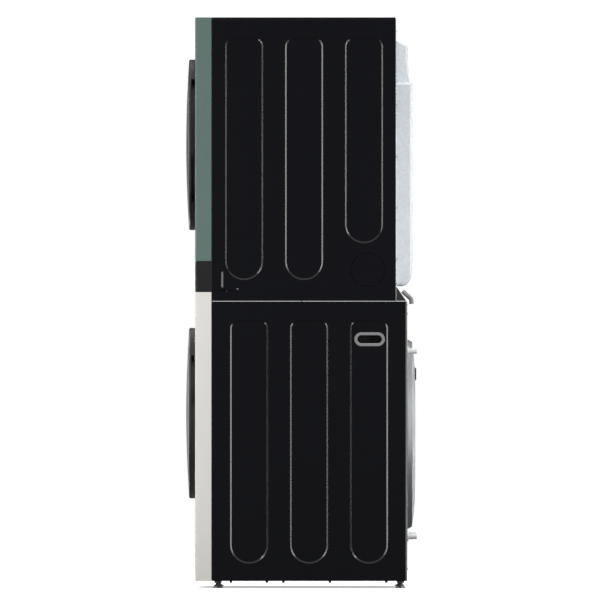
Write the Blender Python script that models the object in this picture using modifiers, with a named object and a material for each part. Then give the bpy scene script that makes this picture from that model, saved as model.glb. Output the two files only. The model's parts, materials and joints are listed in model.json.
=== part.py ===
"""Laundry tower: a front-load washer below, a tumble dryer above, one control band between them.

Metres, +Z up. The front faces -Y and the origin is on the floor under the middle of the tower.
"""

from math import acos, atan2, cos, hypot, pi, radians, sin

import bmesh
import bpy
from mathutils import Matrix, Vector

# ---- driving dimensions: cabinet -------------------------------------------------------------
CABINET_WIDTH = 0.700
FOOT_HEIGHT = 0.0235  # floor to the underside of the cabinet
WASHER_SIDE_HEIGHT = 0.9265  # lower side panel
DRYER_SIDE_HEIGHT = 0.940  # upper side panel with the top panel's edge
WASHER_DEPTH = 0.643  # side panel, front seam to rear edge
DRYER_DEPTH = 0.610
FRONT_SEAM_Y = -0.2975  # where the front covers meet the side panels
FRONT_DEPTH = 0.0543  # front covers, seam to face
FRONT_EDGE_RADIUS = 0.0055
SHEET = 0.0012  # painted sheet steel
FLANGE = 0.020  # folded edges of the side panels
SIDE_EDGE_RADIUS = 0.0025
TOP_EDGE = 0.006  # folded edge of the top panel
BAND_LIFT = 0.030  # control band above the seam between the two units
BAND_HEIGHT = 0.103
GAP = 0.0003  # between touching pieces
SLIP = 0.001  # between pieces that only come near each other

# ---- side panel ribs -------------------------------------------------------------------------
RIB_WIDTH = 0.1265
RIB_DEPTH = 0.003
RIB_SLOPE = 0.006
RIB_CORNER = 0.029
RIB_PITCH = 0.1985
RIB_TOP_MARGIN = 0.067  # below the top of the dryer panel
WASHER_RIB_TOP_MARGIN = 0.061
DRYER_FIRST_RIB = 0.108  # front seam to the middle of the first rib
WASHER_FIRST_RIB = 0.1245
DRYER_RIB_BOTTOM = 0.070  # above the lower edge of the panel
DRYER_SHORT_RIB_BOTTOM = 0.192
WASHER_RIB_BOTTOM = 0.0575
KNOCKOUT_RADIUS = 0.056
KNOCKOUT_SLOT = 0.0010
KNOCKOUT_HEIGHT = 0.104  # above the lower edge of the dryer panel
KNOCKOUT_FROM_REAR = 0.0927

# ---- hand-hold in the washer side ------------------------------------------------------------
HOLD_WIDTH = 0.081
HOLD_HEIGHT = 0.026
HOLD_RIM = 0.010
HOLD_DEPTH = 0.034
HOLD_FLANGE = 0.0022
HOLD_WALL = 0.002
HOLD_BEHIND_RIB = 0.002  # behind the middle of the last rib
HOLD_FROM_TOP = 0.126

# ---- doors -----------------------------------------------------------------------------------
DOOR_MARGIN = 0.0665  # door edge to the side of the cabinet
DOOR_LIFT = 0.0015  # door rear face off the front panel
DOOR_RIM = 0.0195  # thickness at the edge
DOOR_CROWN = 0.0292  # thickness at the middle of the window
DOOR_RING = 0.123  # width of the ring
DOOR_EDGE_RADIUS = 0.006
PORTHOLE_MARGIN = 0.083  # door edge to the opening behind it
DOOR_BELOW_DRAWER = 0.017
DOOR_BELOW_TOP = 0.1365
HINGE_OFFSET = 0.0065  # door edge to the hinge pin
HINGE_RADIUS = 0.0045
HINGE_LENGTH = 0.110
HINGE_PLATE = 0.026
HINGE_PLATE_THICKNESS = 0.0028
HINGE_LEAF = 0.020  # leaf over the door's edge
POCKET_LIP = 0.0075  # door front left in front of a finger pocket
POCKET_REACH = 0.024
WASHER_POCKETS = ((6.5, 43.0),)  # first and last angle of each finger pocket
DRYER_POCKETS = ((14.0, 50.0), (-43.0, -8.0))
GLASS_WALL = 0.004
GLASS_GAP = 0.001  # ring to glass
WINDOW_THICKNESS = 0.005
WASHER_BOWL = 0.088
DRYER_BOWL = 0.050

# ---- washer insides --------------------------------------------------------------------------
REAR_COVER_DROP = 0.070  # access cover and shaft below the middle of the door
TUB_CLEARANCE = 0.0458  # tub to the pressed side panel
TUB_WALL = 0.004
TUB_FRONT = 0.105  # along the tilted axis, behind the front face
TUB_BEHIND = 0.098  # tub rear wall ahead of the cabinet's rear edge
DRUM_GAP = 0.024
DRUM_WALL = 0.0015
DRUM_END_GAP = 0.010
DRUM_REAR_GAP = 0.036  # room for the spider
DRUM_CORNER = 0.012
LIFTER_HEIGHT = 0.045
LIFTER_BASE = 0.034  # half the width of a lifter's foot
LIFTER_WALL = 0.004
LIFTER_END = 0.03  # lifter's ends from the drum's
TUB_BOSS = 0.026  # bearing boss inside the tub's rear wall
SHAFT_RADIUS = 0.015
SPIDER_BOSS = 0.052
SPIDER_ARM = 0.016  # half its width
SPIDER_END = 0.020  # arm's ends from the axis and from the drum's wall
ROTOR_RADIUS = 0.148
ROTOR_LENGTH = 0.052
STATOR_RADIUS = 0.128
SPRING_COIL = 0.011
SPRING_WIRE = 0.002
SPRING_TURNS = 5
SPRING_FROM_TUB_SIDE = 0.055
SPRING_END = 0.020  # straight wire at each end
WEIGHT_THICKNESS = 0.034

# ---- drawer and pump -------------------------------------------------------------------------
DRAWER_WIDTH = 0.240
DRAWER_HEIGHT = 0.0815
DRAWER_DEPTH = 0.285
DRAWER_BELOW_BAND = 0.020
DRAWER_FROM_SIDE = 0.025
FLAP_WIDTH = 0.130
FLAP_HEIGHT = 0.110
FLAP_LIFT = 0.037
FLAP_FROM_SIDE = 0.035
REVEAL = 0.0012  # gap round a flap, drawer or button
DRAWER_FRONT = 0.004
DRAWER_WALL = 0.002
DRAWER_INSET = 0.014  # tray in from each side of its front
TRAY_BOTTOM = 0.008  # above the lower edge of the drawer's front
TRAY_TOP = 0.058
HOUSING_SLACK = 0.0015
HOUSING_WALL = 0.0015
FLAP_THICKNESS = 0.003
PUMP_RADIUS = 0.040
PUMP_KNOB = 0.030
PUMP_MOTOR = 0.028

# ---- dryer insides ---------------------------------------------------------------------------
DRYER_DRUM_GAP = 0.0465  # drum to the pressed side panel
DRYER_DRUM_FRONT = 0.0615  # drum behind the front seam
DRYER_DRUM_REAR = 0.026  # drum ahead of the rear panel
THROAT_GAP = 0.0035
BULKHEAD_THICKNESS = 0.012
BULKHEAD_WALL = 0.003
BULKHEAD_BOTTOM = 0.034  # above the seam
BULKHEAD_TOP = 0.030  # below the top
DRYER_MOUTH_GAP = 0.012
FILTER_WIDTH = 0.220
FILTER_THICKNESS = 0.030
FILTER_FRAME = 0.010
FILTER_TAB = 0.030  # half its width
BLOWER_X = 0.060
BLOWER_LIFT = 0.018  # blower casing above the dryer's base
BLOWER_RADIUS = 0.085
BLOWER_LENGTH = 0.110
BLOWER_WALL = 0.002
BLOWER_INLET = 0.55  # share of the blower's radius
SPOUT_REACH = 0.004
BLADES = 8
BLADE_HALF = 0.0012  # half its thickness
MOTOR_SHAFT = 0.006
SHAFT_HOLE = 0.009
MOTOR_RADIUS = 0.062
MOTOR_BEHIND = 0.030  # behind the blower
BELT_BEHIND = 0.015  # behind the motor
MOTOR_LENGTH = 0.100
PULLEY_RADIUS = 0.0125
PULLEY_RIM = 0.003  # thickness
PULLEY_FLANGE = 0.004  # height of the rims
BELT_WIDTH = 0.014
BELT_THICKNESS = 0.0025
BELT_GAP = 0.0016
DUCT_RADIUS = 0.0495
DUCT_WALL = 0.0015
DUCT_FROM_SIDE = 0.075
DUCT_COLLAR = 0.028

# ---- rear covers and feet --------------------------------------------------------------------
DUCT_COVER_FROM_SIDE = 0.135
DUCT_NECK_INSET = 0.090  # neck in from each side of the cover
DUCT_COVER_LIFT = 0.050  # above the seam
DUCT_COVER_BELOW_TOP = 0.214
DUCT_COVER_STEP = 0.018  # straight part of the foot
DUCT_COVER_SWEEP = 0.054  # height of the swept foot
NECK_SLOPE = 0.068  # heights above the shoulder: end of the slope, of the face, of the neck
NECK_FACE = 0.122
NECK_TOP = 0.142
DUCT_COVER_BULGE = 0.0540  # behind the dryer's rear panel
DUCT_NECK_BULGE = 0.0370
ACCESS_FROM_SIDE = 0.0315
ACCESS_STEP = 0.0176
ACCESS_DOME = 0.0280
REAR_PANEL_DEPTH = 0.005
REAR_PANEL_INSET = 0.002  # from each side of the cabinet
REAR_WINDOW_LIP = 0.022  # access cover over the edge of the window
SLEEVE_RADIUS = 0.010
SLEEVE_FLANGE = 0.017
SLEEVE_FLANGE_DEPTH = 0.004
SLEEVE_REACH = 0.0371  # behind the side panels
SLEEVE_FROM_SIDE = 0.088
SLEEVE_RISE = 0.277  # upper sleeves above the middle of the access cover
SLEEVE_DROP = 0.337
ELBOW_RADIUS = 0.0075
ELBOW_FROM_SIDE = 0.060
TRANSITION_HEIGHT = 0.047  # slope, above the seam at the dryer
TRANSITION_FOOT = 0.004
TRANSITION_WALL = 0.0015
FOOT_RADIUS = 0.017
FOOT_NECK_RADIUS = 0.009
FOOT_DISC = 0.006
FOOT_STUD = 0.005
FOOT_STUD_LENGTH = 0.030  # above the underside of the cabinet
FOOT_FROM_SIDE = 0.050
FOOT_FRONT = 0.0215
FOOT_REAR = 0.0175
RUNNER_SHARES = (0.10, 0.285, 0.37, 0.61, 0.90)  # of the washer's depth
RUNNER_RADIUS = 0.0045
RUNNER_REACH = 0.006
RUNNER_ROOT = 0.002
RUNNER_INSET = 0.012  # in from the side panel's flange
PAN_HEIGHT = 0.034
PAN_WALL = 0.0015
STUD_CLEARANCE = 0.0006
DRYER_PAN_HEIGHT = 0.032
OVERSHOOT = 0.01  # cutters past the faces they open
BUTTON_RADIUS = 0.0105
BUTTON_PROUD = 0.0006
BUTTON_DEPTH = 0.008
BUTTON_FROM_SIDE = 0.100
BUTTON_ROW = 0.0235  # rows above and below the middle of the band

# ---- worked out from the above ---------------------------------------------------------------
HALF = CABINET_WIDTH / 2
ACCESS_RADIUS = HALF - ACCESS_FROM_SIDE
DUCT_COVER_HALF = HALF - DUCT_COVER_FROM_SIDE
DUCT_NECK_HALF = DUCT_COVER_HALF - DUCT_NECK_INSET
FACE_Y = FRONT_SEAM_Y - FRONT_DEPTH
FRONT_REAR_Y = FRONT_SEAM_Y - GAP
WASHER_REAR_Y = FRONT_SEAM_Y + WASHER_DEPTH
DRYER_REAR_Y = FRONT_SEAM_Y + DRYER_DEPTH
BASE_Z = FOOT_HEIGHT
SEAM_Z = BASE_Z + WASHER_SIDE_HEIGHT
TOP_Z = SEAM_Z + DRYER_SIDE_HEIGHT
BAND_Z = SEAM_Z + BAND_LIFT
BAND_TOP_Z = BAND_Z + BAND_HEIGHT
HOLD_Y = FRONT_SEAM_Y + WASHER_FIRST_RIB + 2 * RIB_PITCH + HOLD_BEHIND_RIB
DOOR_RADIUS = HALF - DOOR_MARGIN
PORTHOLE = DOOR_RADIUS - PORTHOLE_MARGIN
GLASS_RADIUS = DOOR_RADIUS - DOOR_RING - GLASS_GAP
DOOR_Y = FACE_Y - DOOR_LIFT
DRAWER_TOP_Z = BAND_Z - DRAWER_BELOW_BAND
DRAWER_Z = DRAWER_TOP_Z - DRAWER_HEIGHT
DRAWER_X = -HALF + DRAWER_FROM_SIDE
WASHER_DOOR_Z = DRAWER_Z - DOOR_BELOW_DRAWER - DOOR_RADIUS
DRYER_DOOR_Z = TOP_Z - DOOR_BELOW_TOP - DOOR_RADIUS
REAR_COVER_Z = WASHER_DOOR_Z - REAR_COVER_DROP
HINGE_X = -DOOR_RADIUS - HINGE_OFFSET
HINGE_Y = DOOR_Y - HINGE_RADIUS
TUB_RADIUS = HALF - SHEET - RIB_DEPTH - TUB_CLEARANCE
DRUM_RADIUS = TUB_RADIUS - TUB_WALL - DRUM_GAP
TILT = atan2(WASHER_DOOR_Z - REAR_COVER_Z, WASHER_REAR_Y - FACE_Y)
TUB_REAR = (WASHER_REAR_Y - TUB_BEHIND - FACE_Y) / cos(TILT)
DRUM_FRONT = TUB_FRONT + TUB_WALL + DRUM_END_GAP
DRUM_REAR = TUB_REAR - TUB_WALL - DRUM_REAR_GAP
DRYER_DRUM_RADIUS = HALF - SHEET - RIB_DEPTH - DRYER_DRUM_GAP
DRUM_FRONT_Y = FRONT_SEAM_Y + DRYER_DRUM_FRONT
DRUM_REAR_Y = DRYER_REAR_Y - DRYER_DRUM_REAR
BLOWER_Z = SEAM_Z + BLOWER_LIFT + BLOWER_RADIUS
BLOWER_Y = DRUM_FRONT_Y + BLOWER_LENGTH / 2 + SLIP
MOTOR_Y = BLOWER_Y + BLOWER_LENGTH / 2 + MOTOR_BEHIND
BELT_Y = MOTOR_Y + MOTOR_LENGTH + BELT_BEHIND
REAR_PANEL_Y = WASHER_REAR_Y + GAP
REAR_FACE_Y = REAR_PANEL_Y + REAR_PANEL_DEPTH
DUCT_PANEL_Y = DRYER_REAR_Y + GAP
DUCT_FACE_Y = DUCT_PANEL_Y + SHEET

# ---- finishes: colour, roughness, metallic ---------------------------------------------------
FINISHES = {
    "green_paint": ((0.115, 0.174, 0.159), 0.42, 0.0),
    "beige_paint": ((0.73, 0.70, 0.66), 0.42, 0.0),
    "black_paint": ((0.010, 0.010, 0.014), 0.22, 0.0),
    "band_plastic": ((0.022, 0.022, 0.024), 0.25, 0.0),
    "door_plastic": ((0.030, 0.030, 0.031), 0.18, 0.0),
    "smoked_glass": ((0.020, 0.022, 0.024), 0.05, 0.0),
    "galvanised": ((0.62, 0.66, 0.69), 0.35, 0.9),
    "stainless": ((0.58, 0.58, 0.57), 0.28, 1.0),
    "zinc": ((0.52, 0.55, 0.58), 0.40, 0.9),
    "grey_plastic": ((0.24, 0.24, 0.25), 0.45, 0.0),
    "white_plastic": ((0.80, 0.81, 0.80), 0.50, 0.0),
    "black_plastic": ((0.018, 0.018, 0.019), 0.50, 0.0),
    "grey_rubber": ((0.20, 0.20, 0.21), 0.70, 0.0),
    "black_rubber": ((0.015, 0.015, 0.015), 0.75, 0.0),
    "concrete": ((0.33, 0.32, 0.30), 0.90, 0.0),
    "copper_varnish": ((0.35, 0.13, 0.05), 0.40, 0.6),
}


# ---- helpers ---------------------------------------------------------------------------------
def clear_scene():
    for old in list(bpy.data.objects):
        bpy.data.objects.remove(old)


def add_collection(name):
    collection = bpy.data.collections.new(name)
    bpy.context.scene.collection.children.link(collection)
    return collection


def place(name, mesh, location=(0, 0, 0), rotation=(0, 0, 0)):
    item = bpy.data.objects.new(name, mesh)
    item.location = location
    item.rotation_euler = rotation
    PARTS.objects.link(item)
    return item


def finish(item, look):
    colour, roughness, metallic = FINISHES[look]
    material = bpy.data.materials.new(item.name)
    material.use_nodes = True
    shader = material.node_tree.nodes["Principled BSDF"]
    shader.inputs["Base Color"].default_value = (*colour, 1.0)
    shader.inputs["Roughness"].default_value = roughness
    shader.inputs["Metallic"].default_value = metallic
    item.data.materials.clear()
    item.data.materials.append(material)
    item.data.shade_smooth()
    item.data.set_sharp_from_angle(angle=radians(35))
    return item


def combine(target, tool, operation):
    """Joins the tool to the target or cuts it away, and keeps it as a hidden wire shape."""
    change = target.modifiers.new(tool.name, "BOOLEAN")
    change.operation = operation
    change.object = tool
    PARTS.objects.unlink(tool)
    CUTTERS.objects.link(tool)
    tool.hide_render = True
    tool.display_type = "WIRE"
    return target


def cut(target, *tools):
    for tool in tools:
        combine(target, tool, "DIFFERENCE")
    return target


def join(target, *tools):
    for tool in tools:
        combine(target, tool, "UNION")
    return target


def box(name, low, high, radius=0.0, pick=None, segments=3):
    """A box between two corners; pick chooses the edges that are rounded, by middle and direction."""
    low, high = Vector(low), Vector(high)
    size = high - low
    shape = bmesh.new()
    bmesh.ops.create_cube(shape, size=1)
    bmesh.ops.scale(shape, vec=size, verts=shape.verts)
    if radius:
        edges = []
        for edge in shape.edges:
            middle = (edge.verts[0].co + edge.verts[1].co) / 2
            along = (edge.verts[1].co - edge.verts[0].co).normalized()
            if pick(middle, along):
                edges.append(edge)
        bmesh.ops.bevel(shape, geom=edges, offset=radius, segments=segments, profile=0.5, affect="EDGES")
    mesh = bpy.data.meshes.new(name)
    shape.to_mesh(mesh)
    shape.free()
    return place(name, mesh, (low + high) / 2)


def rod(name, start, end, radius, segments=20, end_radius=None):
    """A cylinder or cone from start to end."""
    start, end = Vector(start), Vector(end)
    along = end - start
    last = radius if end_radius is None else end_radius
    shape = bmesh.new()
    bmesh.ops.create_cone(
        shape, cap_ends=True, segments=segments, radius1=radius, radius2=last, depth=along.length
    )
    mesh = bpy.data.meshes.new(name)
    shape.to_mesh(mesh)
    shape.free()
    turn = along.to_track_quat("Z", "Y").to_euler()
    return place(name, mesh, (start + end) / 2, turn)


def turned(name, profile, centre, steps=48, tilt=0.0):
    """A turned shape whose axis runs to the front; profile is (radius, height towards the front)."""
    mesh = bpy.data.meshes.new(name)
    points = [(r, 0, h) for r, h in profile]
    edges = [(i, i + 1) for i in range(len(points) - 1)]
    if profile[0][0] > 0:
        edges.append((len(points) - 1, 0))
    mesh.from_pydata(points, edges, [])
    item = place(name, mesh, centre, (pi / 2 - tilt, 0, 0))
    screw = item.modifiers.new("turn", "SCREW")
    screw.steps = steps
    screw.render_steps = steps
    screw.use_merge_vertices = True
    screw.merge_threshold = 0.00001
    return item


def curve_to_mesh(curve_item):
    """Replaces a curve object by the welded mesh that it draws."""
    bpy.context.view_layer.update()
    graph = bpy.context.evaluated_depsgraph_get()
    mesh = bpy.data.meshes.new_from_object(curve_item.evaluated_get(graph))
    shape = bmesh.new()
    shape.from_mesh(mesh)
    bmesh.ops.remove_doubles(shape, verts=shape.verts, dist=0.000001)
    shape.to_mesh(mesh)
    shape.free()
    name = curve_item.name
    matrix = curve_item.matrix_world.copy()
    bpy.data.objects.remove(curve_item)
    item = place(name, mesh)
    item.matrix_world = matrix
    return item


PLANES = {
    "yz": ((pi / 2, 0, pi / 2), 0, 1),
    "xz": ((pi / 2, 0, 0), 1, -1),
    "xy": ((0, 0, 0), 2, 1),
}


def prism(name, outline, plane, low, high):
    """A flat outline given in one plane, as thick as from low to high across that plane."""
    rotation, axis, sense = PLANES[plane]
    data = bpy.data.curves.new(name, "CURVE")
    data.dimensions = "2D"
    data.fill_mode = "BOTH"
    data.extrude = (high - low) / 2
    data.resolution_u = 1
    spline = data.splines.new("POLY")
    spline.points.add(len(outline) - 1)
    for point, (u, v) in zip(spline.points, outline):
        point.co = (u, v, 0, 1)
    spline.use_cyclic_u = True
    item = bpy.data.objects.new(name, data)
    item.rotation_euler = rotation
    item.location[axis] = (low + high) / 2
    PARTS.objects.link(item)
    return curve_to_mesh(item)


def tube(name, path, radius, sides=2):
    """A round bar along a path, with closed ends."""
    data = bpy.data.curves.new(name, "CURVE")
    data.dimensions = "3D"
    data.bevel_depth = radius
    data.bevel_resolution = sides
    data.use_fill_caps = True
    spline = data.splines.new("POLY")
    spline.points.add(len(path) - 1)
    for point, place_at in zip(spline.points, path):
        point.co = (*place_at, 1)
    item = bpy.data.objects.new(name, data)
    PARTS.objects.link(item)
    return curve_to_mesh(item)


def loft(name, rings):
    """A closed skin through rings of equal point counts, capped at both ends."""
    shape = bmesh.new()
    loops = [[shape.verts.new(point) for point in ring] for ring in rings]
    count = len(rings[0])
    for first, second in zip(loops, loops[1:]):
        for i in range(count):
            j = (i + 1) % count
            shape.faces.new((first[i], first[j], second[j], second[i]))
    shape.faces.new(loops[0])
    shape.faces.new(loops[-1])
    bmesh.ops.recalc_face_normals(shape, faces=shape.faces)
    mesh = bpy.data.meshes.new(name)
    shape.to_mesh(mesh)
    shape.free()
    return place(name, mesh)


def arc(centre, radius, start, end, count):
    """Points on an arc between two angles in degrees, both ends included."""
    angles = [radians(start + (end - start) * i / count) for i in range(count + 1)]
    return [(centre[0] + radius * cos(a), centre[1] + radius * sin(a)) for a in angles]


def rounded(left, right, bottom, top, bottom_radius, top_radius, count, top_count):
    """An upright rounded rectangle, counterclockwise from the lower left corner."""
    points = arc((left + bottom_radius, bottom + bottom_radius), bottom_radius, 180, 270, count)
    points += arc((right - bottom_radius, bottom + bottom_radius), bottom_radius, 270, 360, count)
    points += arc((right - top_radius, top - top_radius), top_radius, 0, 90, top_count)
    points += arc((left + top_radius, top - top_radius), top_radius, 90, 180, top_count)
    return points


def axis_point(depth):
    """A point on the washer's tilted axis, at a depth behind the front face."""
    return Vector((0, FACE_Y + depth * cos(TILT), WASHER_DOOR_Z - depth * sin(TILT)))


def hang(name, location, items, rotation=(0, 0, 0)):
    """Puts an empty on a joint's axis and hangs the moving pieces on it where they are."""
    axis = bpy.data.objects.new(name, None)
    axis.location = location
    axis.rotation_euler = rotation
    PARTS.objects.link(axis)
    bpy.context.view_layer.update()
    for item in items:
        item.parent = axis
        item.matrix_parent_inverse = axis.matrix_world.inverted()


# ---- cabinet ---------------------------------------------------------------------------------
def rib_outline(middle, bottom, top, inset, x):
    """One pressed rib: a round lower end and rounded upper corners, drawn at one depth."""
    half = RIB_WIDTH / 2
    points = rounded(
        middle - half + inset,
        middle + half - inset,
        bottom + inset,
        top - inset,
        half - inset - 0.0005,
        RIB_CORNER - inset,
        4,
        2,
    )
    return [(x, y, z) for y, z in points]


def press_rib(panel, side, middle, bottom, top):
    """Presses a rib into a side panel: a raised boss inside and a hollow outside."""
    face = side * HALF
    inner = SHEET * 0.8
    boss = loft(
        panel.name + "_boss",
        [
            rib_outline(middle, bottom, top, -inner, face - side * SHEET / 2),
            rib_outline(middle, bottom, top, RIB_SLOPE - inner, face - side * (RIB_DEPTH + SHEET)),
        ],
    )
    hollow = loft(
        panel.name + "_hollow",
        [
            rib_outline(middle, bottom, top, 0, face + side * 0.001),
            rib_outline(middle, bottom, top, 0, face),
            rib_outline(middle, bottom, top, RIB_SLOPE, face - side * RIB_DEPTH),
        ],
    )
    join(panel, boss)
    cut(panel, hollow)


def side_panel(name, side, rear, bottom, top, ribs):
    """A side panel with folded edges and pressed ribs; ribs are (middle, bottom, top)."""
    edges = sorted((side * (HALF - FLANGE), side * HALF))
    panel = box(
        name,
        (edges[0], FRONT_SEAM_Y, bottom),
        (edges[1], rear, top),
        SIDE_EDGE_RADIUS,
        lambda middle, along: abs(along.z) > 0.9 and middle.x * side > 0,
        2,
    )
    room = sorted((side * (HALF - FLANGE - OVERSHOOT), side * (HALF - SHEET)))
    cut(
        panel,
        box(
            name + "_room",
            (room[0], FRONT_SEAM_Y + SHEET, bottom + SHEET),
            (room[1], rear - SHEET, top - SHEET),
        ),
    )
    for middle, low, high in ribs:
        press_rib(panel, side, middle, low, high)
    return finish(panel, "black_paint")


def washer_side(name, side):
    top = SEAM_Z - WASHER_RIB_TOP_MARGIN
    ribs = []
    for i in range(3):
        middle = FRONT_SEAM_Y + WASHER_FIRST_RIB + i * RIB_PITCH
        ribs.append((middle, BASE_Z + WASHER_RIB_BOTTOM, top))
    panel = side_panel(name, side, WASHER_REAR_Y, BASE_Z, SEAM_Z, ribs)
    rim = HOLD_RIM / 2
    opening = hold_outline(HOLD_WIDTH / 2 + rim, HOLD_HEIGHT / 2 + rim)
    span = sorted((side * (HALF - FLANGE), side * (HALF + OVERSHOOT)))
    return cut(panel, prism(name + "_hand_opening", opening, "yz", *span))


def knockout_slots(panel, side):
    """Six arc slots with tabs between them, round the side vent's disc."""
    centre = (DRYER_REAR_Y - KNOCKOUT_FROM_REAR, SEAM_Z + KNOCKOUT_HEIGHT)
    half = KNOCKOUT_SLOT / 2
    span = sorted((side * (HALF - FLANGE), side * (HALF + OVERSHOOT)))
    for i in range(6):
        start, end = 60 * i + 4, 60 * i + 56
        outline = arc(centre, KNOCKOUT_RADIUS + half, start, end, 4)
        outline += arc(centre, KNOCKOUT_RADIUS - half, end, start, 4)
        cut(panel, prism(f"{panel.name}_slot_{i}", outline, "yz", *span))


def dryer_side(name, side):
    top = TOP_Z - RIB_TOP_MARGIN
    bottoms = (DRYER_RIB_BOTTOM, DRYER_RIB_BOTTOM, DRYER_SHORT_RIB_BOTTOM)
    ribs = []
    for i, low in enumerate(bottoms):
        middle = FRONT_SEAM_Y + DRYER_FIRST_RIB + i * RIB_PITCH
        ribs.append((middle, SEAM_Z + low, top))
    panel = side_panel(name, side, DRYER_REAR_Y, SEAM_Z + GAP, TOP_Z - TOP_EDGE - GAP, ribs)
    if side > 0:
        knockout_slots(panel, side)
    return panel


def front_cover(name, bottom, top, wall, look):
    """A front cover: a tray open to the rear, with round upright front edges."""

    def upright(middle, along):
        return abs(along.z) > 0.9 and middle.y < 0

    cover = box(name, (-HALF, FACE_Y, bottom), (HALF, FRONT_REAR_Y, top), FRONT_EDGE_RADIUS, upright, 4)
    room = box(
        name + "_room",
        (-HALF + wall, FACE_Y + wall, bottom + wall),
        (HALF - wall, FRONT_REAR_Y + OVERSHOOT, top - wall),
        FRONT_EDGE_RADIUS - wall,
        upright,
        4,
    )
    cut(cover, room)
    return finish(cover, look)


def porthole(name, centre_z):
    """The cutter of the round opening behind a door."""
    return rod(name, (0, FACE_Y - OVERSHOOT, centre_z), (0, FACE_Y + 2 * OVERSHOOT, centre_z), PORTHOLE, 36)


def washer_front():
    panel = front_cover("washer_front_panel", BASE_Z, BAND_Z - GAP, SHEET, "beige_paint")
    port = porthole("washer_port", WASHER_DOOR_Z)
    drawer = box(
        "drawer_opening",
        (DRAWER_X - REVEAL, FACE_Y - OVERSHOOT, DRAWER_Z - REVEAL),
        (DRAWER_X + DRAWER_WIDTH + REVEAL, FACE_Y + OVERSHOOT, DRAWER_TOP_Z + REVEAL),
    )
    left = -HALF + FLAP_FROM_SIDE
    low = BASE_Z + FLAP_LIFT
    flap = box(
        "flap_opening",
        (left - REVEAL, FACE_Y - OVERSHOOT, low - REVEAL),
        (left + FLAP_WIDTH + REVEAL, FACE_Y + OVERSHOOT, low + FLAP_HEIGHT + REVEAL),
    )
    return cut(panel, port, drawer, flap)


def dryer_front():
    panel = front_cover("dryer_front_panel", BAND_TOP_Z + GAP, TOP_Z, SHEET, "green_paint")
    return cut(panel, porthole("dryer_port", DRYER_DOOR_Z))


def button_places():
    """Each button's name with its place on the band."""
    middle = BAND_Z + BAND_HEIGHT / 2
    reach = HALF - BUTTON_FROM_SIDE
    return {
        "dryer_power_button": (-reach, middle + BUTTON_ROW),
        "dryer_start_button": (reach, middle + BUTTON_ROW),
        "washer_power_button": (-reach, middle - BUTTON_ROW),
        "washer_start_button": (reach, middle - BUTTON_ROW),
    }


def control_panel():
    panel = front_cover("control_panel", BAND_Z + GAP, BAND_TOP_Z - GAP, 2 * SHEET, "band_plastic")
    for name, (x, z) in button_places().items():
        start, end = (x, FACE_Y - OVERSHOOT, z), (x, FACE_Y + OVERSHOOT, z)
        cut(panel, rod(name + "_hole", start, end, BUTTON_RADIUS + REVEAL / 2, 24))
    return panel


def button(name, x, z):
    key = rod(name, (x, FACE_Y - BUTTON_PROUD, z), (x, FACE_Y + BUTTON_DEPTH, z), BUTTON_RADIUS, 24)
    finish(key, "door_plastic")
    hang(name + "_axis", (x, FACE_Y, z), [key])


def top_panel():
    lid = box(
        "top_panel",
        (-HALF, FRONT_SEAM_Y, TOP_Z - TOP_EDGE),
        (HALF, DRYER_REAR_Y, TOP_Z),
        SIDE_EDGE_RADIUS,
        lambda middle, along: abs(along.z) > 0.9,
        2,
    )
    room = box(
        "top_panel_room",
        (-HALF + SHEET, FRONT_SEAM_Y + SHEET, TOP_Z - TOP_EDGE - OVERSHOOT),
        (HALF - SHEET, DRYER_REAR_Y - SHEET, TOP_Z - SHEET),
    )
    return finish(cut(lid, room), "black_paint")


def tray(name, low, high, wall, look):
    """A folded tray that is open at the top."""
    pan = box(name, low, high)
    room = box(
        name + "_room",
        (low[0] + wall, low[1] + wall, low[2] + wall),
        (high[0] - wall, high[1] - wall, high[2] + OVERSHOOT),
    )
    return finish(cut(pan, room), look)


def base_pan():
    low = (-HALF + SHEET + GAP, FRONT_SEAM_Y + SHEET + GAP, BASE_Z + SHEET + GAP)
    high = (HALF - SHEET - GAP, WASHER_REAR_Y - SHEET - GAP, BASE_Z + PAN_HEIGHT)
    pan = tray("base_pan", low, high, PAN_WALL, "black_paint")
    for i, (x, y) in enumerate(foot_places()):
        end = (x, y, BASE_Z + 2 * OVERSHOOT)
        cut(pan, rod(f"foot_hole_{i}", (x, y, 0), end, FOOT_STUD + STUD_CLEARANCE, 16))
    for i, share in enumerate(RUNNER_SHARES):
        y = FRONT_SEAM_Y + share * WASHER_DEPTH
        for side in (-1, 1):
            x = side * (HALF - FLANGE - RUNNER_INSET)
            low_end, high_end = (x, y, BASE_Z - RUNNER_REACH), (x, y, BASE_Z + RUNNER_ROOT)
            join(pan, rod(f"runner_{i}_{side}", low_end, high_end, RUNNER_RADIUS, 6))
    return pan


def dryer_base():
    low = (-HALF + SHEET + GAP, FRONT_SEAM_Y + SHEET + GAP, SEAM_Z + SHEET + 2 * GAP)
    high = (HALF - SHEET - GAP, DRYER_REAR_Y - SHEET - GAP, SEAM_Z + DRYER_PAN_HEIGHT)
    return tray("dryer_base", low, high, SHEET, "galvanised")


# ---- rear side -------------------------------------------------------------------------------
def washer_rear():
    panel = box(
        "washer_rear_panel",
        (-HALF + REAR_PANEL_INSET, REAR_PANEL_Y, BASE_Z),
        (HALF - REAR_PANEL_INSET, REAR_FACE_Y, SEAM_Z - GAP),
    )
    room = box(
        "rear_panel_room",
        (-HALF + REAR_PANEL_INSET + SHEET, REAR_PANEL_Y - OVERSHOOT, BASE_Z + SHEET),
        (HALF - REAR_PANEL_INSET - SHEET, REAR_FACE_Y - SHEET, SEAM_Z - GAP - SHEET),
    )
    window = rod(
        "rear_window",
        (0, REAR_PANEL_Y - 2 * OVERSHOOT, REAR_COVER_Z),
        (0, REAR_FACE_Y + 2 * OVERSHOOT, REAR_COVER_Z),
        ACCESS_RADIUS - REAR_WINDOW_LIP,
        32,
    )
    return finish(cut(panel, room, window), "galvanised")


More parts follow.
